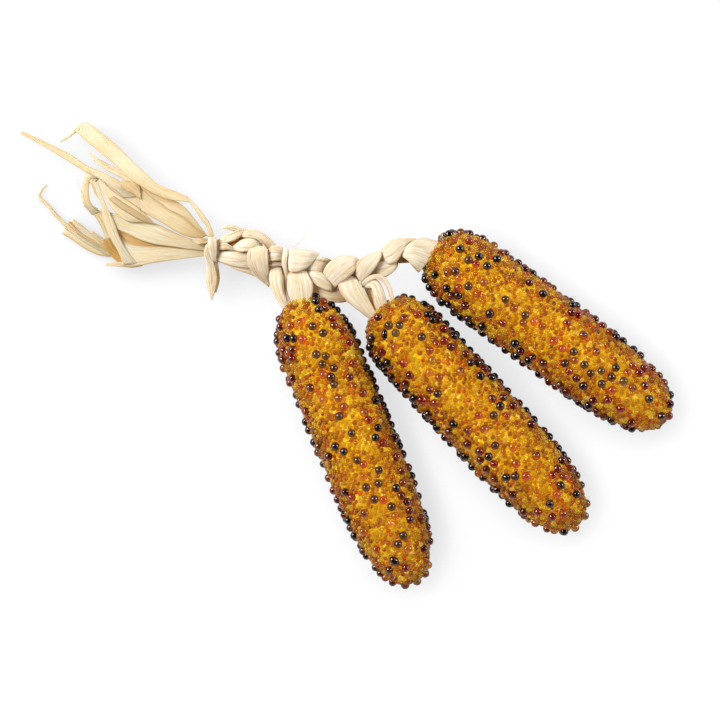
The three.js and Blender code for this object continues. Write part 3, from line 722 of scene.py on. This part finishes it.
# Each piece of the plait: kind, the frame's node that it stands for, tone, and its stations, each with the
# height of the middle, x and y of the left edge, and x and y of the right edge.
PLAIT_PIECES = {
    "lobe_end_5": ("lobe", "plait_strand_2", 0.06, [
        (14.1, -68.1, 55.5, -67.8, 54.7), (15.6, -62.7, 60, -61.2, 56.3), (16.9, -58.1, 62, -57.1, 57.6),
        (17.5, -54.1, 63.3, -54.1, 59.6), (16.9, -49.6, 62.6, -50.6, 61.4)]),
    "lobe_end_tip": ("lobe", "plait_strand_2", 0.1, [
        (15.6, -63.5, 63.8, -63.5, 63.6), (16.8, -61.7, 65, -61.2, 63.3), (17.4, -59.1, 65.1, -58.1, 62.5),
        (17, -56.1, 64.1, -55.6, 62.1), (16.2, -53.2, 62.7, -53.2, 61.2)]),
    "lobe_end_4": ("lobe", "plait_strand_2", 0.14, [
        (17, -53.9, 60.1, -53.7, 59.4), (18.5, -52.1, 61.9, -50.6, 58.7), (19.3, -49, 62.5, -47, 58.3),
        (19.4, -45, 61.8, -44, 57), (18.8, -41, 59.3, -42.3, 55.1), (16.7, -36.6, 55.2, -40.1, 52.6)]),
    "lobe_end_2": ("lobe", "plait_strand_3", 0.02, [
        (15.4, -58.2, 54.2, -57.7, 53.4), (17.6, -54.1, 57.4, -55.4, 51.9), (18.6, -50.6, 58.3, -52.1, 51.8),
        (18.6, -47.1, 58, -48.6, 52.6), (17, -43.4, 55.7, -43.4, 54.9)]),
    "lobe_end_1": ("lobe", "plait_strand_1", 0.03, [
        (13.8, -68.3, 54.5, -68.3, 53), (15.7, -63.7, 55.9, -63.7, 52.9), (16, -61.2, 55.8, -61.2, 53),
        (15.6, -58.7, 54.4, -58.7, 52.4), (14.8, -55.2, 53.7, -55.2, 51.8)]),
    # A golden-brown sheet in the hollow under the end lobes; its tone is painted shade.
    "lobe_end_painted_shade": ("lobe", "plait_strand_2", 0.85, [
        (13.1, -61.3, 56.3, -60.3, 55.3), (14.1, -57.8, 58.2, -57.3, 54.5), (14.8, -54.2, 60.5, -53.7, 57.2),
        (14.3, -50.7, 60.8, -50.2, 58.3)]),
    "lobe_end_3": ("lobe", "plait_strand_3", 0.02, [
        (12.5, -68.4, 51.3, -68.4, 48.5), (14.4, -62.3, 52, -62.3, 46.1), (15.4, -57.2, 51.8, -57.2, 44.6),
        (15.8, -51.7, 51.6, -51.7, 43.8), (14.7, -47.2, 51.2, -47.2, 43.2)]),
    "lobe_end_low": ("lobe", "plait_strand_1", 0.1, [
        (11.8, -66.4, 48.6, -65.9, 47.1), (13.4, -61.3, 46.7, -60.3, 44.7), (14, -56.3, 45.5, -55.3, 42.4),
        (14, -51.3, 44.7, -50.2, 40.8), (12.8, -46.3, 43.7, -44.3, 38)]),
    "edge_strip": ("strip", "plait_strand_1", 0.03, [
        (18.1, -46.3, 54.5, -47.8, 54.3), (19.6, -48, 52.5, -50.2, 52), (20, -48.6, 49, -51.1, 48.8),
        (19.3, -47.3, 44.8, -49.9, 44), (16.9, -44.9, 40.1, -46.5, 39.1), (14.4, -39.9, 35.4, -40.2, 34.1)]),
    "lobe_left_4": ("lobe", "plait_strand_1", 0.08, [
        (19.7, -44.5, 54.5, -46, 54.5), (22, -41.4, 53.2, -48.2, 52.2), (22.6, -40.5, 49.9, -48.7, 49.4),
        (22.2, -40.5, 45.9, -47.7, 45.4), (20.4, -40.4, 42, -45.2, 40.7), (16, -39.9, 35.4, -40.4, 35.6)]),
    "band_upper": ("strip", "plait_strand_2", 0.02, [
        (19.2, -41.5, 51.8, -41.5, 50.3), (20.8, -39, 53.9, -39, 50.5), (21.2, -36.5, 54.6, -36.5, 50.6),
        (20.1, -32, 53.6, -32, 50.6)]),
    "band_middle": ("strip", "plait_strand_2", 0.05, [
        (18.9, -41.5, 50.6, -41.5, 47.1), (21, -39, 50.9, -39, 47.1), (21.2, -36, 51, -36, 47.2),
        (20, -32, 50.8, -32, 47.1)]),
    "band_lower": ("strip", "plait_strand_2", 0.12, [
        (18.1, -41.6, 46.9, -41.6, 44.7), (19.9, -39, 47, -39, 44.4), (20, -36, 47.1, -36, 44.4),
        (19, -32, 47, -32, 44.6)]),
    "strip_between": ("strip", "husk_left_broad", 0.0, [
        (20.9, -30.5, 53.4, -32.5, 53.9), (22.8, -30.3, 50.9, -32.8, 51.4), (23.2, -31, 47.9, -33.3, 47.9),
        (23, -31.2, 44.9, -33.3, 44.9), (21.8, -30.5, 41.4, -32.4, 41.9), (19.7, -30, 39, -31.3, 38.5)]),
    "husk_left_narrow": ("neck", "husk_left_narrow", 0.04, [
        (18, -34.2, 45.1, -38.9, 45.1), (20.1, -33.4, 41.5, -39.7, 41), (21, -32.6, 37, -39.5, 36),
        (21.2, -32.2, 32, -37.7, 31), (21.1, -30.9, 28.2, -35, 26), (20.1, -26.7, 22.5, -31.7, 21)]),
    "husk_left_thin": ("strip", "husk_left_narrow", 0.3, [
        (17.6, -32.7, 44.1, -34.1, 44.1), (19.6, -31.3, 39, -32.5, 39), (20.3, -31.1, 33, -32.1, 33),
        (20.8, -29.7, 28, -31, 28.5), (20.4, -26, 22.5, -28, 22.5)]),
    "husk_left_broad": ("neck", "husk_left_broad", 0.02, [
        (21.1, -21.5, 42, -29.7, 41.7), (23.3, -19.7, 38.9, -30.8, 38.4), (23.8, -18.2, 35.4, -30.2, 33.9),
        (23.7, -18.4, 30.9, -29.4, 28.9), (23.2, -19.4, 26.7, -28.2, 24.9),
        (22.1, -21.5, 22.5, -26.7, 21.5)]),
    "lobe_left_1": ("lobe", "plait_strand_1", 0.0, [
        (20.9, -30.7, 51, -30.7, 44.5), (23.4, -28.9, 52.8, -29.2, 41.6), (24, -24.4, 52.7, -25.9, 41.4),
        (23.8, -19.4, 51.9, -22.7, 42.7), (21.8, -14.8, 50.7, -19.5, 45)]),
    "lobe_left_flap": ("strip", "plait_strand_1", 0.1, [
        (19.4, -26, 42.5, -25.5, 40.7), (20.6, -22.5, 44.2, -21.7, 42.5), (21, -19, 47.2, -18.6, 45.1),
        (20, -15.2, 50, -15.1, 48.5)]),
    "lobe_left_2": ("lobe", "plait_strand_2", 0.1, [
        (19.7, -20, 48.5, -23, 42.5), (21.6, -16, 48.7, -18.5, 41.8), (21.6, -12.5, 48.3, -14.5, 41.3),
        (19.4, -8, 46.8, -11.5, 41)]),
    "lobe_left_rim": ("strip", "plait_strand_2", 0.1, [
        (20.7, -18.5, 49, -18.5, 47.4), (22.6, -15, 49, -15, 47.4), (22.6, -11.5, 48.4, -12, 46.9),
        (20.4, -8, 47.1, -8.7, 45.8)]),
    "lobe_middle_2": ("lobe", "plait_strand_3", 0.06, [
        (19.4, -22.5, 41.3, -21.5, 39.8), (21.8, -18, 42.1, -19, 36.9), (22.4, -13.5, 41.2, -15.5, 34.3),
        (22.2, -10, 39, -12, 32.5), (21.3, -7.7, 36, -9, 31.9), (18.8, -5.8, 32, -6.5, 31.6)]),
    "lobe_middle_3": ("lobe", "plait_strand_3", [0.12, 0.12, 0.12, 0.25, 0.8], [
        (16.9, -20.6, 39.1, -19.6, 29.9), (18.7, -17, 37, -16.5, 28.6), (19.6, -13, 35, -12, 27.3),
        (19.6, -9, 33.5, -7, 26.5), (18.4, -4, 33, -2.5, 26.6), (16.3, 0.5, 31.1, 0.5, 28.1)]),
    "lobe_middle_1": ("lobe", "plait_strand_2", 0.0, [
        (21.7, 5.4, 47.2, 4, 48.5), (24.2, 4, 44.3, 0, 49.4), (25.2, 1.8, 40.9, -4.5, 49.1),
        (25.2, -1, 38.3, -8.4, 47.1), (24.3, -3.7, 36.1, -11.2, 44.4), (22.6, -6.7, 33.7, -12.8, 41)]),
    "lobe_middle_flap": ("strip", "plait_strand_2", 0.15, [
        (19.4, 4.5, 44, 3.5, 45), (21.1, 2.9, 40.1, 1.3, 41.5), (21.8, -0.1, 37, -1.5, 39.2),
        (21.4, -3.1, 34.6, -4.5, 36.7), (19.4, -5.8, 32.8, -7.3, 34.5)]),
    "lobe_right_2": ("lobe", "plait_strand_3", 0.06, [
        (23, 16.4, 51.4, 15, 52.1), (25.2, 15.7, 48.6, 11.5, 50.5), (26.2, 14.2, 45.5, 8.2, 48.9),
        (26.2, 12.1, 42.3, 5.4, 47.4), (25.2, 9.4, 39.2, 3.6, 44.6), (23, 6, 36.3, 3, 40.6)]),
    "lobe_right_3": ("lobe", "plait_strand_2", 0.12, [
        (20.6, 24.5, 45.7, 23.5, 47.7), (22.5, 23.6, 43.3, 21, 46.9), (23.4, 21.1, 40.9, 18, 46.6),
        (23.4, 18.1, 39, 15.5, 46.4), (22.9, 15, 38.5, 13.5, 45.4), (21.5, 12, 39.5, 11.5, 43.4)]),
    "lobe_right_1": ("lobe", "plait_strand_1", 0.04, [
        (21.9, 32, 56.2, 33.5, 58.2), (23.8, 29.2, 54.1, 29.4, 58.1), (24.9, 26.8, 51.6, 25.4, 58),
        (25, 25, 48.3, 21.9, 57.4), (24.6, 22.8, 45.9, 19.1, 55.7), (23.8, 19.5, 45.3, 17.1, 53.7),
        (21.6, 16.5, 46.4, 15.6, 50.9)]),
    "husk_flare": ("neck", "husk_right_flare", 0.04, [
        (23.1, 25.2, 50.6, 25.5, 50), (24.7, 28.2, 53.7, 27.4, 48.6), (25.6, 31.4, 56.4, 29.1, 47.2),
        (25.8, 34.9, 57.8, 30.6, 45.5), (25.6, 38.9, 57.9, 32.1, 43.8), (25.1, 42.9, 57, 33.3, 42.4),
        (24.4, 47.4, 55.3, 34.8, 41.1)]),
    "husk_flare_under": ("strip", "husk_right_flare", 0.6, [
        (17.3, 23, 49.1, 23, 46.2), (18.6, 25.5, 49.3, 25.5, 46.1), (18.6, 27.8, 48.6, 27.8, 46.2),
        (17.6, 30.5, 47.1, 30, 46.4)]),
    "husk_middle_broad": ("neck", "husk_middle_broad", 0.04, [
        (20.6, 3, 40.5, -2, 40), (23.7, 4.9, 36.6, -4.7, 36.4), (24.7, 7.1, 32.9, -4.9, 32.9),
        (24.8, 9.4, 28.6, -2.6, 28.6), (24.4, 11.6, 24.4, 1, 25.1), (23.7, 14.2, 19.9, 5.5, 21.7),
        (22.4, 16.5, 16, 11.5, 17)]),
    "husk_middle_loop_outer": ("strip", "husk_middle_loop", 0.06, [
        (22.5, 6, 35.6, 7, 33.9), (24.4, 8, 37.9, 9.5, 36.1), (25.4, 11, 39.7, 11.7, 37.5),
        (25.8, 14.5, 40.1, 14.2, 37.8), (25.7, 17.5, 38.9, 16.5, 36.4), (25.3, 19.8, 36.3, 18.2, 33.9),
        (24.7, 21.3, 32.9, 19.5, 30.4), (23.8, 22.4, 27.9, 20.2, 26.4), (22.7, 22.5, 23.4, 20.2, 22.5)]),
    "husk_middle_loop_inner": ("strip", "husk_middle_loop", 0.02, [
        (21.8, 6.5, 34.2, 7.2, 33.6), (23.6, 8.5, 36.4, 9.2, 33.9), (24.4, 11, 37.6, 11, 33.7),
        (24.8, 13.8, 37.4, 11.8, 31.9), (24.8, 16.1, 34.7, 12.2, 28.9), (24.6, 17.6, 30.9, 12.7, 25.9),
        (24.1, 18.7, 26.9, 13.5, 22.9), (22.7, 18.9, 21, 14.2, 19)]),
    "husk_middle_loop_under": ("strip", "husk_middle_loop", 0.3, [
        (20.2, 12.2, 33.5, 7.7, 33.5), (21.8, 12.9, 30, 9.2, 30), (22.2, 13.7, 25, 11, 26),
        (21.3, 14.7, 20.5, 12.7, 20.5)]),
}

# Each leaf of the tassel: the same, but with only the end of the node's name, and with how far the leaf's end
# is torn after the tone.
TASSEL_PIECES = {
    "leaf_stalk": ("thin", "top", 0.1, 0, [
        (16.6, -69.7, 56.8, -67.2, 56.4), (17, -70.3, 60.1, -68.1, 61), (17.4, -71.2, 63.9, -69.2, 64.3),
        (17.6, -73, 66.6, -70.8, 67.5), (17.8, -75.5, 69.9, -73.3, 71), (17.8, -78, 74.1, -76.7, 75.1),
        (17.6, -80.3, 76.6, -80.5, 79.2)]),
    "leaf_top": ("leaf", "top", [0.15, 0.1, 0.08, 0.1, 0.15], 0, [
        (17.6, -80.3, 76.6, -80.7, 79.3), (17.7, -83.8, 77.1, -83.9, 80.6), (17.5, -88, 77.6, -87.7, 82.2),
        (17.2, -92.2, 78.7, -92.2, 83.8), (16.8, -97.6, 81, -97.2, 86.4), (16.2, -104.3, 84.7, -102.6, 91.5),
        (15, -110.9, 89.3, -108.9, 97.5), (13.4, -117.6, 95.7, -115.6, 104.2),
        (11.6, -125.3, 102, -122.8, 110.2), (9.6, -132.6, 108.1, -129.3, 115.4),
        (8.4, -136.2, 111.5, -133.2, 117.2), (7.4, -139, 113.8, -137.8, 115.5)]),
    "leaf_tan_fold": ("leaf", "tan", [0.3, 0.2, 0.15, 0.15, 0.2, 0.35, 0.6], 0.4, [
        (13.8, -71.9, 60.1, -70.3, 59.2), (14.2, -77.4, 64.8, -73.1, 62.4), (14.6, -81.9, 68.9, -77.2, 67.8),
        (14.8, -86.1, 71, -81, 72.5), (14.8, -90.7, 73.1, -84.8, 76), (14.7, -94.1, 75.8, -88.6, 77.8),
        (14.5, -97.8, 78.4, -92.8, 79.2), (14.2, -101.6, 81.1, -97.4, 81.3),
        (13.9, -105.3, 84.9, -101.6, 84.6)]),
    "leaf_tan": ("leaf", "tan", [0.5, 0.36, 0.22, 0.14, 0.1, 0.1, 0.1], 0.4, [
        (13, -74.3, 58.5, -71.4, 60.1), (13.4, -79.9, 59.3, -77.2, 64.7), (13.7, -84.1, 60.7, -81.8, 68.9),
        (13.8, -88.3, 63, -85.8, 71), (13.8, -92.4, 65.6, -90.4, 73), (13.6, -97.5, 68.5, -94.1, 75.8),
        (13.4, -101.7, 71, -98.3, 78.9), (13.2, -104.3, 72.4, -105.2, 84.8)]),
    "leaf_tan_end": ("leaf", "tan", 0.42, 0.5, [
        (14.4, -104.7, 78.2, -105, 84.6), (14.2, -107.9, 80.6, -107.5, 86.5),
        (13.8, -111.3, 82.4, -110.4, 87.1), (13.2, -115.1, 84.4, -114.3, 87.7)]),
    "leaf_stub": ("leaf", "tan", 0.2, 0.3, [
        (14.4, -70.2, 56.4, -69.8, 58.2), (14.6, -73.1, 56.1, -73.1, 58.4), (14.2, -75.7, 55.7, -75.7, 58.8),
        (13.2, -78.2, 56.6, -78.6, 58)]),
    "leaf_pointed": ("leaf", "pointed", [0.1, 0.1, 0.1, 0.35], 0, [
        (12, -105.7, 82.5, -102.6, 86), (11.4, -112.2, 87.8, -109.2, 89.3),
        (10.6, -117.3, 90.6, -114.8, 92.9), (9.6, -121.7, 92.9, -119.7, 95.3),
        (8.6, -125.6, 95.5, -123.8, 97.5), (7.4, -128.5, 98, -127.6, 99.7),
        (6, -131.6, 102.3, -131.3, 102.6)]),
    "leaf_long": ("leaf", "long", [0.1, 0.1, 0.15, 0.3, 0.6], 0, [
        (12.6, -112.6, 78.9, -105.6, 79.8), (12.4, -119.7, 84.5, -111.7, 84.7),
        (11.6, -125.3, 88.6, -117.8, 88.7), (10.8, -131.9, 91.9, -124.9, 92.3),
        (10, -138.1, 95.6, -132, 95.3), (8.6, -144.3, 99.5, -140.2, 100.9), (6.6, -152, 104.2, -148.5, 105),
        (4.4, -159.9, 108.8, -157.4, 109.4), (1.8, -166.4, 112.2, -166.1, 113.4)]),
    "leaf_long_side": ("leaf", "long", 0.05, 0.3, [
        (12.2, -103.9, 71.3, -104.6, 78.4), (12.1, -109.3, 75.9, -110.2, 81.9),
        (12, -114.4, 79, -115.2, 84.3), (11.6, -119, 82.2, -120.3, 86.4), (11, -122.4, 85.6, -123.7, 87.9)]),
    "leaf_centre": ("leaf", "centre", [0.3, 0.15, 0.1, 0.1, 0.1], 0.3, [
        (12.4, -98.1, 65.8, -97.9, 66.3), (12.6, -103, 66.7, -100.7, 69.1), (12.7, -109.3, 67, -103.8, 72.4),
        (12.6, -113.1, 68.1, -108.7, 76), (12.3, -118.1, 72.5, -113.7, 79), (12, -121.5, 77.1, -117.7, 81.7),
        (11.6, -124.1, 82.2, -121.5, 85.1), (11, -125.8, 88.5, -124.5, 89.1)]),
    "leaf_centre_gold": ("thin", "centre", 0.5, 0.3, [
        (12.8, -98, 65.9, -97.8, 66.4), (13.3, -103.8, 67.2, -101.3, 68.7),
        (13.4, -110.1, 70.8, -107.1, 72.7), (13, -116, 74.6, -113, 76.4),
        (12.2, -121.1, 78.8, -118.5, 80.1)]),
    "leaf_upper_broad": ("leaf", "upper_broad", [0.15, 0.03, 0, 0, 0.03], 0.4, [
        (11.6, -71.5, 52.3, -71.5, 56.8), (11.8, -82.5, 53.7, -79.2, 58.3), (11.9, -90.3, 54.8, -84.8, 60.3),
        (11.8, -98.2, 56, -90.4, 62.9), (11.4, -104.9, 58, -97.1, 66), (10.8, -110.6, 60.6, -106.1, 68),
        (10.2, -118.2, 64.1, -121, 71.9)]),
    "leaf_golden_fold": ("leaf", "lower_broad", 0.82, 0.3, [
        (9.6, -82.7, 53.2, -82.7, 54.6), (9.9, -90.5, 53.6, -90.5, 55.6), (10, -99.4, 53.7, -99.4, 57),
        (9.7, -106.2, 54, -106.2, 59.6), (9.2, -111.8, 55.2, -110.7, 61.9),
        (8.7, -115.8, 58.6, -114.7, 63.9), (8.4, -118.1, 61.4, -118.1, 65.9)]),
    "leaf_lower_broad": ("leaf", "lower_broad", [0.15, 0.03, 0, 0, 0.05], 0.3, [
        (10.6, -71.5, 50.1, -71.5, 52.9), (10.8, -82.6, 48.7, -82.6, 53.2), (10.8, -90.4, 47.7, -90.4, 54.1),
        (10.5, -98.3, 46.5, -98.3, 54.5), (10, -105, 45.2, -105, 54.9), (9.5, -109.6, 44.5, -111.2, 56.4),
        (9.1, -114.3, 44.8, -116.3, 60.2)]),
    "leaf_left_light": ("leaf", "lower_broad", 0.0, 0, [
        (10, -113.4, 45.6, -106.7, 46.2), (10.4, -116.8, 53.4, -111.4, 51.8),
        (10.8, -119.7, 58.2, -114.2, 56.2), (11.2, -121.9, 63.5, -116.2, 60.7),
        (11.4, -123.8, 68.8, -118.2, 66.3), (11.6, -124.5, 72.4, -120.4, 71.3),
        (11.6, -124.7, 75.5, -122.1, 74.9), (11.4, -126.7, 81.4, -124.5, 80.8),
        (11, -128.6, 87, -126.2, 87)]),
    "leaf_tail": ("leaf", "lower_broad", 0.08, 0, [
        (8.4, -104, 45, -104, 46.8), (8, -109.1, 44.2, -109.1, 47.1), (7.6, -114.2, 44.6, -114.2, 46.9),
        (7, -118.7, 44.9, -118.7, 46.9), (6.4, -123, 45.2, -122.7, 46)]),
    "leaf_golden": ("leaf", "curled", [0.85, 0.9, 0.95, 1.0], 0.5, [
        (6, -120.4, 59.7, -125, 58.4), (6, -118.7, 56.4, -123.4, 54.3), (6, -116.5, 53, -121, 50.9),
        (6.2, -113.9, 50.1, -118.4, 48.3), (6.4, -112.1, 48.2, -115.4, 46)]),
    "leaf_left_edge": ("leaf", "curled", [0.25, 0.15, 0.1, 0.1], 0.2, [
        (8.2, -122.6, 58.6, -118.6, 59.1), (9, -124.7, 64, -121.5, 66.1), (9.4, -127.5, 68.8, -124, 71.1),
        (9.6, -130.4, 72.2, -127.7, 73.9), (9.8, -133.6, 75, -132.5, 76.1)]),
    "leaf_curl": ("thin", "curled", 0.12, 0, [
        (9.2, -129.6, 70.6, -125, 72.1), (9.8, -132.9, 74.7, -128.4, 74.3), (10, -134.4, 78.1, -130.6, 77.7),
        (10, -134.7, 81.6, -131.1, 81.6), (9.8, -134.1, 86.2, -131.1, 85.4),
        (9.8, -133.1, 90.4, -130.2, 87.9), (10.4, -131.1, 92.7, -126.4, 89.2)]),
    "leaf_curl_edge": ("thin", "curled", 0.3, 0, [
        (9, -125.8, 78.1, -124, 78.1), (9.4, -128, 81.4, -125.8, 81.6), (10, -129.7, 85.6, -126.9, 84.9),
        (10, -130.8, 87.9, -127.2, 87.4), (9.6, -128.5, 89.6, -125.5, 89.1)]),
}

# Narrow pieces of the tassel: the same, but each along a rib of (x, y, z, half width).
TASSEL_STRIPS = {
    "top_curl": ("thin", "top", 0.3, 0, [
        (-129.5, 111, 8.8, 0.9), (-134.5, 114.5, 8.2, 0.8), (-138, 113, 7.4, 0.6), (-142, 110, 6.2, 0.5),
        (-146, 107.8, 5.6, 0.25)]),
    "split_body": ("leaf", "split", 0.2, 0.3, [
        (-73.5, 52.5, 6, 1.4), (-86.5, 54.5, 5, 3), (-99.5, 54.5, 4.2, 4), (-110.5, 54, 3.6, 4.4),
        (-119.5, 54, 3.2, 4)]),
    "split_1": ("thin", "split", 0.15, 0, [
        (-113.5, 51, 3.4, 1.4), (-121.5, 52, 3, 1.4), (-126.5, 54, 2.8, 1.2), (-136.5, 60, 2.4, 1),
        (-147, 69.2, 2, 0.8), (-152, 75, 1.8, 0.8), (-156.8, 79.8, 1.4, 0.7), (-156, 83.5, 1.3, 0.5),
        (-153.2, 86.2, 1.2, 0.2)]),
    "split_2": ("thin", "split", 0.2, 0.5, [
        (-113.5, 54.5, 3.8, 1.4), (-119.5, 55, 3.6, 1.3), (-126, 57, 3.6, 1.1), (-131, 60.8, 3.4, 1),
        (-136, 64.8, 3.2, 1), (-140.2, 68.2, 3, 0.9)]),
    "split_3": ("thin", "split", 0.12, 0.5, [
        (-113.5, 52.5, 2.6, 1.6), (-120.5, 51.5, 2.4, 1.6), (-127, 52.5, 2.2, 1.7), (-133.5, 55.8, 2, 1.8),
        (-139.5, 60, 1.8, 1.8), (-144.5, 62.8, 1.6, 1.6)]),
    "split_4": ("thin", "split", 0.5, 0.4, [
        (-114.5, 53, 3.2, 1.2), (-123, 54.2, 3, 1), (-129.5, 57.2, 2.8, 0.9), (-136, 61.2, 2.6, 0.9),
        (-142.2, 67.5, 2.4, 0.7)]),
    "split_stub": ("thin", "split", 0.3, 0.6, [
        (-117.5, 54.5, 4.2, 1.2), (-122.5, 56.5, 4.4, 1.2), (-126.5, 59, 4.4, 1.1), (-130, 61.8, 4.2, 0.9)]),
}


# The end of the tie: it lies over the plait's neck and hangs to one side, folded.
TIE_PIECES = {
    "tie_over": ("strip", "tie_strip", 0.05, [
        (16.6, -67.7, 60.3, -69.9, 60.3), (17.2, -66.4, 57.2, -70.6, 57.2), (17, -66.2, 54.1, -70.8, 54.1),
        (16.2, -66.5, 51.1, -69.8, 51.1), (15, -66.8, 48.6, -69.1, 48.9), (13, -66.4, 46.8, -68, 46.8)]),
    "tie_tail_right": ("neck", "tie_strip", 0.05, [
        (13.4, -66.5, 50.1, -68.4, 50.1), (12.4, -66.1, 46.8, -68.2, 46.8), (11.4, -65.6, 42.9, -67.9, 43.2),
        (10.4, -65.3, 39, -67.3, 40.1), (9.4, -65.8, 35.4, -67.3, 36.8), (8.4, -67.2, 31.2, -68.3, 32.6)]),
    "tie_tail_left": ("neck", "tie_strip", 0.0, [
        (15.8, -70.3, 55.6, -71.5, 55.6), (15.2, -69.5, 51.4, -72.6, 51.7), (13.9, -68.5, 47.3, -72.2, 47.6),
        (12.6, -67.2, 43.7, -71.5, 44.8), (11.4, -66.4, 40.4, -71.8, 41.2), (10.4, -66.5, 36.8, -71.8, 36.8),
        (9.4, -67.5, 32.9, -70.8, 32.3), (8.6, -69.1, 27.9, -69.5, 27.9)]),
}

for number, (name, (kind, node, tone_and_shade, stations)) in enumerate(PLAIT_PIECES.items()):
    husk_piece(name, kind, spine_of_edges(stations), node, plait_husk, seed=50 + number, tone_and_shade=tone_and_shade)
for table, spine_of, first_seed in ((TASSEL_PIECES, spine_of_edges, 200), (TASSEL_STRIPS, spine_of_rib, 300)):
    for number, (name, (kind, leaf, tone_and_shade, torn, line)) in enumerate(table.items()):
        husk_piece(name, kind, spine_of(line), "tassel_leaf_" + leaf, tassel_husk, seed=first_seed + number,
                   tone_and_shade=tone_and_shade, torn=torn, slot="tassel_husk")
for number, (name, (kind, node, tone_and_shade, stations)) in enumerate(TIE_PIECES.items()):
    husk_piece(name, kind, spine_of_edges(stations), node, plait_husk, seed=80 + number, tone_and_shade=tone_and_shade,
               slot="tie_husk")

# The band of the tie: two turns round the plait's neck, as an oval.
TIE_MIDDLE = np.array([-68.4, 53.2, 9.6])
BAND_DRIFT = 0.8  # along the neck
BAND_HALF_DEPTH = 4.8
BAND_HALF_HEIGHT = 4.4
BAND_HALF_WIDTH = 2.1
wind = np.linspace(-0.4 * pi, 3.9 * pi, 40)
turns = TIE_MIDDLE + np.column_stack([
    BAND_DRIFT * np.sin(wind / 4), BAND_HALF_DEPTH * np.cos(wind), BAND_HALF_HEIGHT * np.sin(wind)])
band = np.column_stack([turns, np.full(len(wind), BAND_HALF_WIDTH)])
husk_piece("tie_band", "strip", spine_of_rib(band, across=(-1, 0, 0)), "tie_strip", plait_husk, seed=7,
           tone_and_shade=0.05, slot="tie_husk", stations=110, tuck=0.6, wave=0)

# Loose fibres of husk.
HAIRS = {
    "plait_hair": ("plait_strand_1", [
        (-28.4, 54, 21.4, 0.16), (-26.4, 55.2, 22.4, 0.14), (-24.4, 56.6, 23, 0.13), (-22.4, 59, 23.2, 0.1),
        (-21.8, 62, 23, 0.06)]),
    "tassel_hair": ("tassel_leaf_curled", [
        (-126.5, 73.6, 9.6, 0.2), (-130, 75.6, 9.8, 0.18), (-133.4, 79.6, 10, 0.16), (-136, 85, 10.2, 0.12),
        (-137, 89.6, 10.4, 0.06)]),
}
for number, (name, (node, rib)) in enumerate(HAIRS.items()):
    husk_piece(name, "thin", spine_of_rib(rib), node, tassel_husk, seed=95 + number, tone_and_shade=0.2, across=4,
               stations=30, folds=0, pleat=0, wave=0, thickness=0.2)


# ---- Table, light and camera ----

SHADE_COOL = 0.06  # how much bluer than grey the soft shade on the table is, as a share of its depth
TABLE_GLOW = 0.97
SKY_STRENGTH = 1.2
CAMERA_PLACE = (0.00643, -0.00294, 1.37)

nothing_selected()
bpy.ops.mesh.primitive_plane_add(size=4)
table = bpy.context.object
table.name = "table"
table_paint, table_tree, table_shader = new_material("table_paint")


def hollow_shade(lean, reach, steps):
    """Soft grey on the table, by how much stands over it within reach, on the side that it leans to."""
    look = add_node(table_tree, "CombineXYZ", "Vector", dict(zip("XYZ", lean)))
    openness = add_node(table_tree, "AmbientOcclusion", "AO", {"Normal": look, "Distance": reach}, samples=8)
    greys = [(at, (grey, grey + 0.3 * (1 - grey) * SHADE_COOL, grey + SHADE_COOL * (1 - grey)))
             for at, grey in steps]
    return ramp(table_tree, openness, greys)


faint_shade = hollow_shade((-0.50, 0.53, 0.68), 0.024, [(0.0, 0.92), (0.98, 1.0), (0.74, 0.93)])
deep_shade = hollow_shade((-0.74, 0.26, 0.55), 0.020, [(0.0, 0.70), (0.97, 1.0), (0.60, 0.81)])
both = add_node(table_tree, "VectorMath", "Vector", {0: faint_shade, 1: deep_shade}, operation="MULTIPLY")
feed(table_tree, table_shader, {
    "Base Color": (0.04, 0.04, 0.04, 1), "Roughness": 0.9, "Specular IOR Level": 0.1, "Emission Color": both,
    "Emission Strength": TABLE_GLOW})
table.data.materials.append(table_paint)
table_paint.cycles.emission_sampling = "NONE"  # found by bounced light alone, which is cleaner

world = bpy.data.worlds.new("studio")
world.use_nodes = True
sky = world.node_tree
direction = add_node(sky, "TexCoord", "Generated")
height = add_node(sky, "SeparateXYZ", "Z", {"Vector": direction})
walls = ramp(sky, height, [(0.22, WHITE), (0.60, (0.06, 0.06, 0.065))])
feed(sky, sky.nodes["Background"], {"Color": walls, "Strength": SKY_STRENGTH})
bpy.context.scene.world = world


def softbox(name, place, size, power):
    """A square soft light that faces the frame's middle. Its place and size are in metres."""
    light = bpy.data.lights.new(name, "AREA")
    light.shape = "SQUARE"
    light.size = size
    light.energy = power
    lamp = add_object(name, light)
    lamp.location = place
    lamp.rotation_euler = lamp.location.to_track_quat("Z", "Y").to_euler()


softbox("key_light", (-1.228, 0.599, 0.993), 0.8, 53)
softbox("second_light", (1.387, 0.464, 0.845), 0.7, 24)

camera_data = bpy.data.cameras.new("camera")
camera_data.lens = 135
camera_data.sensor_width = 36
camera = add_object("camera", camera_data)
camera.location = CAMERA_PLACE
bpy.context.scene.camera = camera
bpy.context.scene.view_settings.view_transform = "Standard"
